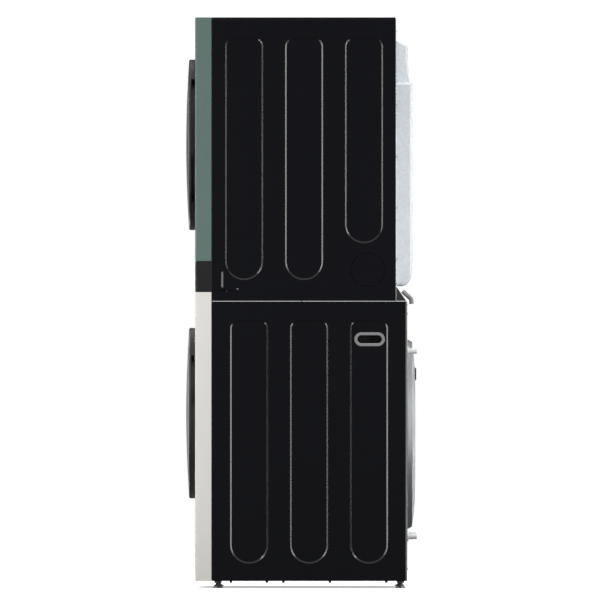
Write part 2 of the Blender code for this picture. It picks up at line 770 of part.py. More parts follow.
def access_cover():
    """The round stepped cover over the drum motor, an open shell of one sheet."""
    edge = ACCESS_RADIUS
    outer = [
        (edge, 0),
        (edge, -SHEET),
        (edge - 0.003, -SHEET),
        (edge - 0.012, -ACCESS_STEP),
        (edge * 0.82, -ACCESS_STEP - 0.0025),
        (edge * 0.45, -ACCESS_DOME + 0.0030),
        (0, -ACCESS_DOME),
    ]
    inner = [(r - SHEET, h + SHEET) for r, h in outer[-2:2:-1]]
    profile = [(0, -ACCESS_DOME + SHEET)] + inner + [(edge - 0.003 - SHEET, 0)] + outer
    cover = turned("rear_access_cover", profile, (0, REAR_FACE_Y + GAP, REAR_COVER_Z), 32)
    return finish(cover, "galvanised")


def transit_sleeves():
    places = []
    for side in (-1, 1):
        for z in (REAR_COVER_Z - SLEEVE_DROP, REAR_COVER_Z + SLEEVE_RISE):
            places.append((side * (HALF - SLEEVE_FROM_SIDE), z))
    for number, (x, z) in enumerate(places, 1):
        name = f"transit_sleeve_{number}"
        flange_end = REAR_FACE_Y + SLEEVE_FLANGE_DEPTH
        sleeve = rod(name, (x, REAR_FACE_Y + GAP, z), (x, flange_end, z), SLEEVE_FLANGE, 14)
        start, end = (x, REAR_FACE_Y + SLEEVE_FLANGE_DEPTH / 2, z), (x, WASHER_REAR_Y + SLEEVE_REACH, z)
        join(sleeve, rod(name + "_shank", start, end, SLEEVE_RADIUS, 14))
        finish(sleeve, "white_plastic")


def dryer_rear():
    panel = box(
        "dryer_rear_panel",
        (-HALF + SLIP, DUCT_PANEL_Y, SEAM_Z + GAP),
        (HALF - SLIP, DUCT_FACE_Y, TOP_Z - TOP_EDGE - GAP),
    )
    x = -HALF + DUCT_FROM_SIDE
    near, far = DUCT_PANEL_Y - OVERSHOOT, DUCT_FACE_Y + OVERSHOOT
    outlet = rod("outlet_hole", (x, near, BLOWER_Z), (x, far, BLOWER_Z), DUCT_RADIUS + SLIP, 32)
    air = rod("air_hole", (0, near, DRYER_DOOR_Z), (0, far, DRYER_DOOR_Z), DUCT_NECK_HALF, 32)
    return finish(cut(panel, outlet, air), "galvanised")


def duct_outline(back, bulge, inset):
    """The rear duct cover seen from the side, from the panel outwards."""
    high = TOP_Z - DUCT_COVER_BELOW_TOP - inset
    low = SEAM_Z + DUCT_COVER_LIFT + inset
    step = back + DUCT_COVER_STEP
    outline = [(back, high), (back, low), (step, low)]
    for i in range(1, 6):
        angle = radians(18 * i)
        out = step + (bulge - DUCT_COVER_STEP) * sin(angle)
        outline.append((out, low + DUCT_COVER_SWEEP * (1 - cos(angle))))
    outline.append((back + bulge, high))
    return outline


def duct_cover():
    """The galvanised cover over the heater duct: a broad body with a narrower neck above it."""
    back = DUCT_FACE_Y + GAP
    half, neck_half = DUCT_COVER_HALF, DUCT_NECK_HALF
    wall = SHEET
    body = prism("rear_duct_cover", duct_outline(back, DUCT_COVER_BULGE, 0), "yz", -half, half)
    top = TOP_Z - DUCT_COVER_BELOW_TOP
    rear, neck_rear = back + DUCT_COVER_BULGE, back + DUCT_NECK_BULGE
    neck_outline = [
        (back, top - OVERSHOOT),
        (rear, top - OVERSHOOT),
        (rear, top),
        (neck_rear, top + NECK_SLOPE),
        (neck_rear, top + NECK_FACE),
        (back, top + NECK_TOP),
    ]
    neck = prism("duct_neck", neck_outline, "yz", -neck_half, neck_half)
    outline = duct_outline(back, DUCT_COVER_BULGE, wall)
    room = [(y - wall if y > back else y - OVERSHOOT, z) for y, z in outline]
    hollow = prism("duct_hollow", room, "yz", -half + wall, half - wall)
    sag = wall * 0.3
    neck_room = [
        (back - OVERSHOOT, top - 3 * OVERSHOOT),
        (rear - wall, top - 3 * OVERSHOOT),
        (rear - wall, top - sag),
        (neck_rear - wall, top + NECK_SLOPE - sag),
        (neck_rear - wall, top + NECK_FACE - wall),
        (back - OVERSHOOT, top + NECK_TOP - wall + OVERSHOOT / 2),
    ]
    neck_hollow = prism("neck_hollow", neck_room, "yz", -neck_half + wall, neck_half - wall)
    join(body, neck)
    cut(body, hollow, neck_hollow)
    return finish(body, "galvanised")


def transition_points():
    """The upper and lower end of the slope behind the seam, as (y, z)."""
    start = (DUCT_FACE_Y + TRANSITION_WALL + GAP, SEAM_Z + TRANSITION_HEIGHT)
    return start, (WASHER_REAR_Y, SEAM_Z + TRANSITION_FOOT)


def transition_cover():
    (y0, z0), (y1, z1) = transition_points()
    wall = TRANSITION_WALL
    low = SEAM_Z + GAP
    inner = [(y0, z0 - 2 * wall), (y1 - wall, z1 - wall / 2), (y1 - wall, low)]
    outline = [(y0, z0), *inner, (y1, low), (y1, z1)]
    return finish(prism("transition_cover", outline, "yz", -HALF + SLIP, HALF - SLIP), "black_plastic")


def drain_elbow():
    """The grey outlet elbow that lies down the slope and turns to the floor."""
    (y0, z0), (y1, z1) = transition_points()
    along = Vector((0, y1 - y0, z1 - z0)).normalized()
    out = Vector((0, -along.z, along.y))
    x = HALF - ELBOW_FROM_SIDE
    start = Vector((x, y0, z0)) + along * 0.022 + out * (ELBOW_RADIUS + SLIP)
    bend = Vector((x, y1 + ELBOW_RADIUS + 0.0085, z1 + 0.006))
    path = [start, start + (bend - start) * 0.5, bend]
    path += [bend + Vector((0, 0.003, -0.006)), bend + Vector((0, 0.0035, -0.019))]
    return finish(tube("drain_elbow", path, ELBOW_RADIUS, 2), "grey_plastic")


# ---- hand-holds and feet ---------------------------------------------------------------------
def hold_outline(half_width, half_height):
    y = HOLD_Y
    z = SEAM_Z - HOLD_FROM_TOP
    corner = half_height * 0.98
    return rounded(y - half_width, y + half_width, z - half_height, z + half_height, corner, corner, 4, 4)


def hand_hold(name, side):
    """The plastic ring and pocket that a hand lifts the tower by."""
    rim = HOLD_RIM
    face = HALF - RIB_DEPTH + GAP
    flange = sorted((side * face, side * (face + HOLD_FLANGE)))
    cup = sorted((side * (face - HOLD_DEPTH), side * (face + SLIP)))
    room = sorted((side * (face - HOLD_DEPTH + HOLD_WALL), side * (face + 2 * OVERSHOOT)))
    ring = prism(name, hold_outline(HOLD_WIDTH / 2 + rim, HOLD_HEIGHT / 2 + rim), "yz", *flange)
    outer = hold_outline(HOLD_WIDTH / 2 + HOLD_WALL, HOLD_HEIGHT / 2 + HOLD_WALL)
    pocket = prism(name + "_cup", outer, "yz", *cup)
    hollow = prism(name + "_room", hold_outline(HOLD_WIDTH / 2, HOLD_HEIGHT / 2), "yz", *room)
    join(ring, pocket)
    return finish(cut(ring, hollow), "grey_plastic")


def foot_places():
    x = HALF - FOOT_FROM_SIDE
    front, rear = FRONT_SEAM_Y + FOOT_FRONT, WASHER_REAR_Y - FOOT_REAR
    return [(-x, front), (x, front), (-x, rear), (x, rear)]


def feet():
    for number, (x, y) in enumerate(foot_places(), 1):
        name = f"foot_{number}"
        foot = rod(name, (x, y, 0), (x, y, FOOT_DISC), FOOT_RADIUS, 18, FOOT_RADIUS * 0.94)
        neck = rod(name + "_neck", (x, y, FOOT_DISC - SLIP), (x, y, BASE_Z + SHEET), FOOT_NECK_RADIUS, 6)
        stud = rod(name + "_stud", (x, y, BASE_Z - SLIP), (x, y, BASE_Z + FOOT_STUD_LENGTH), FOOT_STUD, 12)
        join(foot, neck, stud)
        finish(foot, "zinc")
        hang(name + "_axis", (x, y, 0), [foot])


# ---- doors -----------------------------------------------------------------------------------
def door_height(radius):
    """Thickness of the domed door front at a radius."""
    return DOOR_CROWN - (DOOR_CROWN - DOOR_RIM) * (radius / DOOR_RADIUS) ** 2


def door_profile():
    """The door ring, from its outer edge round to its inner rim."""
    edge, inner = DOOR_RADIUS, DOOR_RADIUS - DOOR_RING
    soft = DOOR_EDGE_RADIUS
    profile = []
    for i in range(3):
        angle = radians(90 - 45 * i)
        profile.append((edge - soft + soft * cos(angle), DOOR_RIM - soft + soft * sin(angle)))
    profile += [(edge, 0), (inner, 0), (inner, door_height(inner) - 0.002)]
    profile += [(inner + 0.002, door_height(inner + 0.002))]
    middle = (edge + inner) / 2
    profile.append((middle, door_height(middle)))
    return profile


def pocket(name, centre_z, start, end):
    """A finger pocket in the door's edge, from one angle to another."""
    middle = (0, centre_z)
    outline = arc(middle, DOOR_RADIUS + 0.02, start, end, 4)
    outline += arc(middle, DOOR_RADIUS - POCKET_REACH, end, start, 4)
    front = DOOR_Y - DOOR_RIM + POCKET_LIP
    return prism(name, outline, "xz", front, DOOR_Y + 0.01)


def glass_profile(depth):
    """The inner glass bowl: up the inside from its middle, over the rim, down the outside."""
    wall = GLASS_WALL
    mouth = DOOR_CROWN * 0.45
    rim = GLASS_RADIUS
    stations = [(1.0, 0.0), (0.95, 0.70), (0.70, 1.0)]
    outer = [(rim, mouth)] + [(rim * share, -depth * fall) for share, fall in stations]
    inner = [(r - wall, h + wall) for r, h in outer[:0:-1]]
    return [(0, -depth + wall)] + inner + [(rim - wall, mouth)] + outer + [(0, -depth)]


def window_profile():
    """The domed outer window, flush with the ring's front."""
    radii = (GLASS_RADIUS, GLASS_RADIUS * 0.6, 0)
    back = [(r, door_height(r) - WINDOW_THICKNESS) for r in radii]
    front = [(r, door_height(r)) for r in radii[::-1]]
    return front + back


def door(name, centre_z, depth, pockets):
    """A round door: the ring with its hinge knuckles, and the glass bowl behind it."""
    ring = turned(name, door_profile(), (0, DOOR_Y, centre_z), 36)
    for i, (start, end) in enumerate(pockets):
        cut(ring, pocket(f"{name}_pocket_{i}", centre_z, start, end))
    third = HINGE_LENGTH * 0.3
    for i, low in enumerate((centre_z - HINGE_LENGTH / 2, centre_z + HINGE_LENGTH / 2 - third)):
        pin = (HINGE_X, HINGE_Y)
        knuckle = rod(f"{name}_knuckle_{i}", (*pin, low), (*pin, low + third), HINGE_RADIUS, 16)
        leaf = box(
            f"{name}_leaf_{i}",
            (HINGE_X, HINGE_Y - HINGE_RADIUS * 0.8, low),
            (-DOOR_RADIUS + HINGE_LEAF, HINGE_Y + HINGE_RADIUS * 0.4, low + third),
        )
        join(ring, knuckle, leaf)
    finish(ring, "door_plastic")
    glass = turned(name + "_glass", glass_profile(depth), (0, DOOR_Y, centre_z), 28)
    finish(glass, "smoked_glass")
    window = turned(name + "_window", window_profile(), (0, DOOR_Y, centre_z), 28)
    finish(window, "smoked_glass")
    hang(name + "_axis", (HINGE_X, HINGE_Y, centre_z), [ring, glass, window])


def hinge(name, centre_z):
    """The fixed half of a door hinge, screwed to the front panel."""
    half = HINGE_LENGTH * 0.2 - 0.0006
    low, high = centre_z - half, centre_z + half
    barrel = rod(name, (HINGE_X, HINGE_Y, low), (HINGE_X, HINGE_Y, high), HINGE_RADIUS, 16)
    inside = HINGE_X - HINGE_RADIUS * 0.3
    plate_low = (HINGE_X - HINGE_PLATE, FACE_Y - HINGE_PLATE_THICKNESS, low)
    plate = box(name + "_plate", plate_low, (inside, FACE_Y - GAP, high))
    web_low = (HINGE_X - HINGE_RADIUS, HINGE_Y - SLIP, low)
    web = box(name + "_web", web_low, (inside, FACE_Y - SLIP, high))
    return finish(join(barrel, plate, web), "zinc")


# ---- washer insides --------------------------------------------------------------------------
def axis_frame(depth=0.0, spin=0.0):
    """The tilted frame of the washer's tub: +Z runs to the front, the origin lies at a depth."""
    lean = Matrix.Rotation(pi / 2 - TILT, 4, "X")
    return Matrix.Translation(axis_point(depth)) @ lean @ Matrix.Rotation(spin, 4, "Z")


def washer_tub():
    """The outer tub, an open drum shell with a bearing boss in its rear wall."""
    outer, wall = TUB_RADIUS, TUB_WALL
    mouth = PORTHOLE + 0.004
    front, rear = -TUB_FRONT, -TUB_REAR
    bore = SHAFT_RADIUS + 0.0008
    profile = [
        (mouth + wall, front + 0.016),
        (mouth + wall, front),
        (outer, front),
        (outer, rear + 0.015),
        (outer - 0.015, rear),
        (bore, rear),
        (bore, rear + TUB_BOSS),
        (0.042, rear + TUB_BOSS),
        (0.042, rear + wall),
        (outer - 0.017, rear + wall),
        (outer - wall, rear + 0.017),
        (outer - wall, front - wall),
        (mouth, front - wall),
        (mouth, front + 0.016),
    ]
    tub = turned("washer_tub", profile, (0, FACE_Y, WASHER_DOOR_Z), 28, TILT)
    return finish(tub, "grey_plastic")


def counterweight():
    """The heavy ring bolted to the front of the tub."""
    inner = PORTHOLE + 0.016
    outer = TUB_RADIUS - 0.014
    back = -TUB_FRONT + GAP
    front = back + WEIGHT_THICKNESS
    profile = [(outer, front), (outer, back), (inner, back), (inner, front)]
    return finish(turned("counterweight", profile, (0, FACE_Y, WASHER_DOOR_Z), 28, TILT), "concrete")


def lifter(name, frame, radius, near, far, inset=0.0):
    """A tapered lifter along a drum's wall, between two heights on the drum's axis."""
    top = radius - LIFTER_HEIGHT + inset
    foot = radius * cos(LIFTER_BASE / radius) - DRUM_WALL * 0.6
    if inset:
        foot = radius + 0.004
    tip, base = LIFTER_BASE * 0.4 - inset, LIFTER_BASE - inset
    rings = []
    for height, shrink in ((near, 0.0), (near + 0.015, 1.0), (far - 0.015, 1.0), (far, 0.0)):
        crest = top + (1 - shrink) * LIFTER_HEIGHT * 0.6
        corners = ((foot, -base), (foot, base), (crest, tip), (crest, -tip))
        rings.append([(across, up, height) for across, up in corners])
    item = loft(name, rings)
    item.matrix_world = frame
    return item


def add_lifter(drum, number, frame, radius, near, far):
    """Welds a hollow lifter into a drum; its hollow opens behind the drum's wall."""
    join(drum, lifter(f"{drum.name}_lifter_{number}", frame, radius, near, far))
    wall = LIFTER_WALL
    cut(drum, lifter(f"{drum.name}_hollow_{number}", frame, radius, near + wall, far - wall, wall))


def drum_profile(radius, mouth, front, rear):
    """A basket: up the inside from the middle of its rear wall, round the mouth, down the outside."""
    wall, soft = DRUM_WALL, DRUM_CORNER
    inner = [
        (0, rear + wall),
        (radius - soft, rear + wall),
        (radius - wall, rear + soft),
        (radius - wall, front - soft),
        (radius - soft, front - wall),
        (mouth, front - wall),
    ]
    outer = [
        (mouth, front),
        (radius - soft + wall, front),
        (radius, front - soft + wall),
        (radius, rear + soft - wall),
        (radius - soft + wall, rear),
        (0, rear),
    ]
    return inner + outer


def washer_drum():
    """The basket, an open shell with three lifters, on its spider and shaft."""
    profile = drum_profile(DRUM_RADIUS, PORTHOLE + 0.003, -DRUM_FRONT, -DRUM_REAR)
    drum = turned("washer_drum", profile, (0, FACE_Y, WASHER_DOOR_Z), 28, TILT)
    for i in range(3):
        frame = axis_frame(0, pi / 2 + i * 2 * pi / 3)
        add_lifter(drum, i, frame, DRUM_RADIUS, -DRUM_REAR + LIFTER_END, -DRUM_FRONT - LIFTER_END)
    return finish(drum, "stainless")


def drum_spider():
    """The three-armed casting behind the basket, with the shaft that runs through the tub."""
    front, rear = DRUM_REAR + GAP, TUB_REAR + ROTOR_LENGTH + 0.012
    boss = TUB_REAR - TUB_BOSS - 0.003
    spider = rod("drum_spider", axis_point(front), axis_point(boss), SPIDER_BOSS, 24)
    for i in range(3):
        arm = box(
            f"spider_arm_{i}",
            (SPIDER_END, -SPIDER_ARM, -boss),
            (DRUM_RADIUS - SPIDER_END, SPIDER_ARM, -front),
        )
        middle = arm.location.copy()
        arm.matrix_world = axis_frame(0, pi / 6 + i * 2 * pi / 3) @ Matrix.Translation(middle)
        join(spider, arm)
    join(spider, rod("drum_shaft", axis_point(front + 0.002), axis_point(rear), SHAFT_RADIUS, 24))
    return finish(spider, "zinc")


def stator():
    """The ring of windings bolted to the rear of the tub."""
    back = -TUB_REAR - GAP
    inner, outer = 0.060, STATOR_RADIUS
    profile = [
        (outer, back - 0.008),
        (outer, back - 0.034),
        (outer - 0.034, back - 0.034),
        (outer - 0.034, back - 0.026),
        (inner, back - 0.026),
        (inner, back),
        (outer - 0.034, back),
        (outer - 0.034, back - 0.008),
    ]
    return finish(turned("stator", profile, (0, FACE_Y, WASHER_DOOR_Z), 20, TILT), "copper_varnish")


def rotor():
    """The magnet cup outside the stator, on the end of the drum shaft."""
    front = -TUB_REAR - 0.004
    rear = front - ROTOR_LENGTH
    rim, wall = ROTOR_RADIUS, 0.003
    bore = SHAFT_RADIUS + GAP
    profile = [
        (rim, front),
        (rim, rear),
        (bore, rear),
        (bore, rear + 0.010),
        (0.030, rear + 0.010),
        (0.034, rear + wall),
        (rim - 0.010, rear + wall),
        (rim - 0.010, front),
    ]
    return finish(turned("rotor", profile, (0, FACE_Y, WASHER_DOOR_Z), 24, TILT), "zinc")


def washer_drive():
    drum, spider, magnets = washer_drum(), drum_spider(), rotor()
    hang("washer_drum_axis", axis_point(DRUM_FRONT), [drum, spider, magnets], (pi / 2 - TILT, 0, 0))


def door_gasket():
    """The rubber bellows from the porthole to the tilted mouth of the tub."""
    mouth = PORTHOLE + 0.0015
    front_y = FACE_Y + SHEET + GAP
    back = axis_point(TUB_FRONT - 0.018)
    reach = back.y - front_y
    stations = [
        (mouth + 0.010, 0.0),
        (mouth + 0.010, 0.10),
        (mouth + 0.001, 0.30),
        (mouth + 0.010, 0.55),
        (mouth + 0.004, 1.0),
        (mouth, 1.0),
        (mouth + 0.006, 0.55),
        (mouth - 0.003, 0.30),
        (mouth - 0.003, 0.0),
    ]
    count = 24
    shape = bmesh.new()
    loops = []
    for radius, share in stations:
        loop = []
        for i in range(count):
            angle = 2 * pi * i / count
            up = radius * sin(angle)
            y = front_y + share * reach + share * up * sin(TILT)
            z = WASHER_DOOR_Z + up - share * (WASHER_DOOR_Z - back.z)
            loop.append(shape.verts.new((radius * cos(angle), y, z)))
        loops.append(loop)
    for first, second in zip(loops, loops[1:] + loops[:1]):
        for i in range(count):
            j = (i + 1) % count
            shape.faces.new((first[i], first[j], second[j], second[i]))
    bmesh.ops.recalc_face_normals(shape, faces=shape.faces)
    mesh = bpy.data.meshes.new("door_gasket")
    shape.to_mesh(mesh)
    shape.free()
    return finish(place("door_gasket", mesh), "grey_rubber")


def tub_spring(name, side):
    """A hanger spring from the dryer's base down to the shoulder of the tub."""
    x = side * (TUB_RADIUS - SPRING_FROM_TUB_SIDE)
    depth = (TUB_FRONT + TUB_REAR) / 2
    middle = axis_point(depth)
    low = middle.z + (TUB_RADIUS**2 - x**2) ** 0.5 / cos(TILT) + 0.012
    high = SEAM_Z + SHEET + 2 * GAP - 0.002
    per_turn = 6
    path = [(x, middle.y, low)]
    steps = SPRING_TURNS * per_turn
    for i in range(steps + 1):
        angle = 2 * pi * i / per_turn
        z = low + SPRING_END + (high - low - 2 * SPRING_END) * i / steps
        path.append((x + SPRING_COIL * cos(angle), middle.y + SPRING_COIL * sin(angle), z))
    path.append((x, middle.y, high))
    return finish(tube(name, path, SPRING_WIRE, 1), "zinc")


# ---- drawer, flap and pump -------------------------------------------------------------------
def tray_corners():
    """The lower front left and the upper rear right corner of the drawer's tray."""
    low = Vector((DRAWER_X + DRAWER_INSET, FACE_Y + DRAWER_FRONT - SLIP, DRAWER_Z + TRAY_BOTTOM))
    right = DRAWER_X + DRAWER_WIDTH - DRAWER_INSET
    return low, Vector((right, FACE_Y + DRAWER_DEPTH, DRAWER_Z + TRAY_TOP))


def detergent_drawer():
    """The drawer with its front and three troughs."""
    wall = DRAWER_WALL
    corner = (DRAWER_X + DRAWER_WIDTH, FACE_Y + DRAWER_FRONT, DRAWER_TOP_Z)
    front = box("detergent_drawer", (DRAWER_X, FACE_Y, DRAWER_Z), corner)
    low, high = tray_corners()
    join(front, box("drawer_tray", low, high))
    span = (high.x - low.x - 4 * wall) / 3
    for i in range(3):
        x = low.x + wall + i * (span + wall)
        near = (x, FACE_Y + DRAWER_FRONT + wall, low.z + wall)
        cut(front, box(f"drawer_trough_{i}", near, (x + span, high.y - wall, high.z + OVERSHOOT)))
    finish(front, "beige_paint")
    hang("detergent_drawer_axis", (DRAWER_X + DRAWER_WIDTH / 2, FACE_Y, DRAWER_Z), [front])


def dispenser_housing():
    """The box that the drawer runs in, open to the front."""
    slack, wall = HOUSING_SLACK, HOUSING_WALL
    low, high = tray_corners()
    low += Vector((-slack, DRAWER_FRONT - SLIP, -slack))
    high += Vector((slack, DRAWER_FRONT, slack))
    rim = Vector((wall, 0, wall))
    shell = box("dispenser_housing", low - rim, high + rim + Vector((0, wall, 0)))
    room = box("housing_room", low - Vector((0, OVERSHOOT, 0)), high)
    return finish(cut(shell, room), "white_plastic")


def filter_flap():
    left = -HALF + FLAP_FROM_SIDE
    low = BASE_Z + FLAP_LIFT
    corner = (left + FLAP_WIDTH, FACE_Y + FLAP_THICKNESS, low + FLAP_HEIGHT)
    flap = box("filter_flap", (left, FACE_Y, low), corner)
    finish(flap, "beige_paint")
    hang("filter_flap_axis", (left + FLAP_WIDTH / 2, FACE_Y, low), [flap])


def drain_pump():
    """The drain pump with its screw-in filter behind the flap."""
    x = -HALF + FLAP_FROM_SIDE + FLAP_WIDTH / 2
    z = BASE_Z + FLAP_LIFT + FLAP_HEIGHT / 2
    y = FACE_Y + 0.012
    pump = rod("drain_pump", (x, y + 0.020, z), (x, y + 0.110, z), PUMP_RADIUS, 24)
    knob = rod("filter_knob", (x, y + 0.006, z), (x, y + 0.022, z), PUMP_KNOB, 24)
    grip = box("filter_grip", (x - 0.024, y, z - 0.004), (x + 0.024, y + 0.008, z + 0.004))
    motor = rod("pump_motor", (x, y + 0.108, z), (x, y + 0.170, z), PUMP_MOTOR, 20)
    return finish(join(pump, knob, grip, motor), "white_plastic")


# ---- dryer insides ---------------------------------------------------------------------------
def dryer_drum():
    """The dryer's drum, an open shell with three lifters, that turns about a level axis."""
    mouth = PORTHOLE + DRYER_MOUTH_GAP
    front, rear = FACE_Y - DRUM_FRONT_Y, FACE_Y - DRUM_REAR_Y
    profile = drum_profile(DRYER_DRUM_RADIUS, mouth, front, rear)
    drum = turned("dryer_drum", profile, (0, FACE_Y, DRYER_DOOR_Z), 36)
    level = Matrix.Translation((0, FACE_Y, DRYER_DOOR_Z)) @ Matrix.Rotation(pi / 2, 4, "X")
    for i in range(3):
        frame = level @ Matrix.Rotation(pi / 2 + i * 2 * pi / 3, 4, "Z")
        add_lifter(drum, i, frame, DRYER_DRUM_RADIUS, rear + LIFTER_END, front - LIFTER_END)
    finish(drum, "stainless")
    hang("dryer_drum_axis", (0, DRUM_FRONT_Y, DRYER_DOOR_Z), [drum], (pi / 2, 0, 0))


def chute_box(name, grow, low, high, front, back):
    half = FILTER_WIDTH / 2 + 0.0015 + grow
    return box(name, (-half, front - grow, low), (half, back + grow, high))


def filter_span():
    """The lint filter's front and rear faces along Y."""
    back = DRUM_FRONT_Y - 0.020
    return back - FILTER_THICKNESS, back


def dryer_bulkhead():
    """The plate behind the dryer's front: the throat that the drum runs on, and the lint duct."""
    back = DRUM_FRONT_Y - SLIP
    plate_front = back - BULKHEAD_THICKNESS
    wall = BULKHEAD_WALL
    throat = PORTHOLE + THROAT_GAP
    plate = box(
        "dryer_bulkhead",
        (-HALF + FLANGE - 0.004, plate_front, SEAM_Z + BULKHEAD_BOTTOM),
        (HALF - FLANGE + 0.004, back, TOP_Z - BULKHEAD_TOP),
    )
    front_y = FACE_Y + 0.004
    collar = rod("throat", (0, front_y, DRYER_DOOR_Z), (0, back - 0.001, DRYER_DOOR_Z), throat + wall, 32)
    near, far = filter_span()
    low, high = SEAM_Z + 0.040, DRYER_DOOR_Z - throat * 0.80
    duct = chute_box("lint_duct", wall, low, high, near - 0.003, plate_front + 0.001 - wall)
    join(plate, collar, duct)
    start, end = (0, front_y - OVERSHOOT, DRYER_DOOR_Z), (0, back + OVERSHOOT, DRYER_DOOR_Z)
    opening = rod("throat_opening", start, end, throat, 32)
    room = chute_box("lint_room", 0, low + wall, high + 0.02, near - 0.003, far + 0.003)
    start, end = (BLOWER_X, near, BLOWER_Z), (BLOWER_X, back + OVERSHOOT, BLOWER_Z)
    inlet = rod("blower_inlet", start, end, BLOWER_RADIUS * BLOWER_INLET, 32)
    return finish(cut(plate, opening, room, inlet), "galvanised")


def lint_filter():
    """The flat filter that lifts out of the slot below the dryer's opening."""
    near, far = filter_span()
    throat = PORTHOLE + THROAT_GAP
    top = DRYER_DOOR_Z - throat - 0.004
    half = FILTER_WIDTH / 2
    low = BLOWER_Z + BLOWER_RADIUS * BLOWER_INLET + FILTER_FRAME
    body = box("lint_filter", (-half, near, low), (half, far, top))
    tab = ((-FILTER_TAB, near + 0.008, top - SLIP), (FILTER_TAB, near + 0.012, top + FILTER_FRAME))
    join(body, box("filter_tab", *tab))
    for i in range(2):
        left = -half + FILTER_FRAME + i * (half - FILTER_FRAME / 2)
        right = left + half - FILTER_FRAME * 1.5
        window = ((left, near + 0.004, low + FILTER_FRAME), (right, far + OVERSHOOT, top - 0.014))
        cut(body, box(f"filter_window_{i}", *window))
    finish(body, "grey_plastic")
    hang("lint_filter_axis", (0, near, top), [body])


def blower_housing():
    """The fan casing, with its inlet at the front and its outlet to the left."""
    wall = BLOWER_WALL
    front, back = BLOWER_Y - BLOWER_LENGTH / 2 + SLIP, BLOWER_Y + BLOWER_LENGTH / 2
    x, z = BLOWER_X, BLOWER_Z
    over = OVERSHOOT
    casing = rod("blower_housing", (x, front, z), (x, back, z), BLOWER_RADIUS, 20)
    end = x - BLOWER_RADIUS - SPOUT_REACH
    spout = rod("blower_spout", (x, BLOWER_Y, z), (end, BLOWER_Y, z), DUCT_RADIUS, 20)
    join(casing, spout)
    room = rod("blower_room", (x, front + wall, z), (x, back - wall, z), BLOWER_RADIUS - wall, 20)
    radius = BLOWER_RADIUS * BLOWER_INLET
    inlet = rod("casing_inlet", (x, front - over, z), (x, front + over, z), radius, 32)
    shaft = rod("casing_shaft_hole", (x, back - over, z), (x, back + over, z), SHAFT_HOLE, 16)
    bore = rod("spout_bore", (x - 2 * over, BLOWER_Y, z), (end - over, BLOWER_Y, z), DUCT_RADIUS - wall, 20)
    return finish(cut(casing, room, inlet, shaft, bore), "grey_plastic")


def duct_route(start_x, end_y):
    """The exhaust duct's middle line: left from the blower, then back to the outlet."""
    left = -HALF + DUCT_FROM_SIDE
    bend = DUCT_RADIUS * 1.7
    corner = (left + bend, BLOWER_Y + bend)
    route = [(start_x, BLOWER_Y, BLOWER_Z)]
    route += [(x, y, BLOWER_Z) for x, y in arc(corner, bend, 270, 180, 6)]
    route.append((left, end_y, BLOWER_Z))
    return route


def exhaust_duct():
    """The exhaust duct with its collar through the rear panel, open at both ends."""
    start = BLOWER_X - BLOWER_RADIUS - SPOUT_REACH - GAP
    end = DUCT_FACE_Y + DUCT_COLLAR
    duct = tube("exhaust_duct", duct_route(start, end), DUCT_RADIUS, 3)
    bore = tube("duct_bore", duct_route(start + OVERSHOOT, end + OVERSHOOT), DUCT_RADIUS - DUCT_WALL, 3)
    return finish(cut(duct, bore), "galvanised")


def dryer_motor():
    """The motor on its foot, bored for the shaft that drives the belt and the blower."""
    x, z = BLOWER_X, BLOWER_Z
    motor = rod("dryer_motor", (x, MOTOR_Y, z), (x, MOTOR_Y + MOTOR_LENGTH, z), MOTOR_RADIUS, 32)
    foot = box(
        "motor_foot",
        (x - MOTOR_RADIUS, MOTOR_Y + 0.010, SEAM_Z + 2 * SHEET + 3 * GAP),
        (x + MOTOR_RADIUS, MOTOR_Y + MOTOR_LENGTH - 0.010, z - MOTOR_RADIUS * 0.6),
    )
    start, end = (x, MOTOR_Y - OVERSHOOT, z), (x, MOTOR_Y + MOTOR_LENGTH + OVERSHOOT, z)
    bore = rod("motor_bore", start, end, MOTOR_SHAFT + 0.0008, 16)
    return finish(cut(join(motor, foot), bore), "zinc")


def motor_pulley():
    """The belt pulley and the motor shaft that it sits on."""
    x, z = BLOWER_X, BLOWER_Z
    half = BELT_WIDTH / 2 + SLIP
    pulley = rod("motor_pulley", (x, BELT_Y - half, z), (x, BELT_Y + half, z), PULLEY_RADIUS, 20)
    rims = []
    for side in (-1, 1):
        edge = BELT_Y + side * half
        start, end = (x, edge - side * SLIP / 2, z), (x, edge + side * PULLEY_RIM, z)
        rims.append(rod(f"pulley_rim_{side}", start, end, PULLEY_RADIUS + PULLEY_FLANGE, 20))
    shaft = rod("motor_shaft", (x, BLOWER_Y - 0.004, z), (x, BELT_Y + half + 0.008, z), MOTOR_SHAFT, 16)
    return join(pulley, *rims, shaft)


def blower_wheel():
    """The fan wheel on the front end of the motor shaft: a back disc, a hub and blades."""
    x, z = BLOWER_X, BLOWER_Z
    radius = BLOWER_RADIUS - 0.014
    back = BLOWER_Y + BLOWER_LENGTH / 2 - 0.008
    disc = rod("blower_wheel", (x, back - 0.003, z), (x, back, z), radius, 32)
    hub = rod("wheel_hub", (x, back - 0.034, z), (x, back - 0.001, z), 0.016, 20)
    join(disc, hub)
    for i in range(BLADES):
        corner = (radius * 0.985, BLADE_HALF, BLOWER_LENGTH - 0.030)
        blade = box(f"wheel_blade_{i}", (radius * 0.60, -BLADE_HALF, 0.002), corner)
        middle = blade.location.copy()
        frame = Matrix.Translation((x, back, z)) @ Matrix.Rotation(pi / 2, 4, "X")
        frame = frame @ Matrix.Rotation(2 * pi * i / BLADES, 4, "Z")
        blade.matrix_world = frame @ Matrix.Translation(middle)
        join(disc, blade)
    bore = rod("wheel_bore", (x, back - 0.06, z), (x, back + OVERSHOOT, z), MOTOR_SHAFT + GAP, 16)
    return cut(disc, bore)


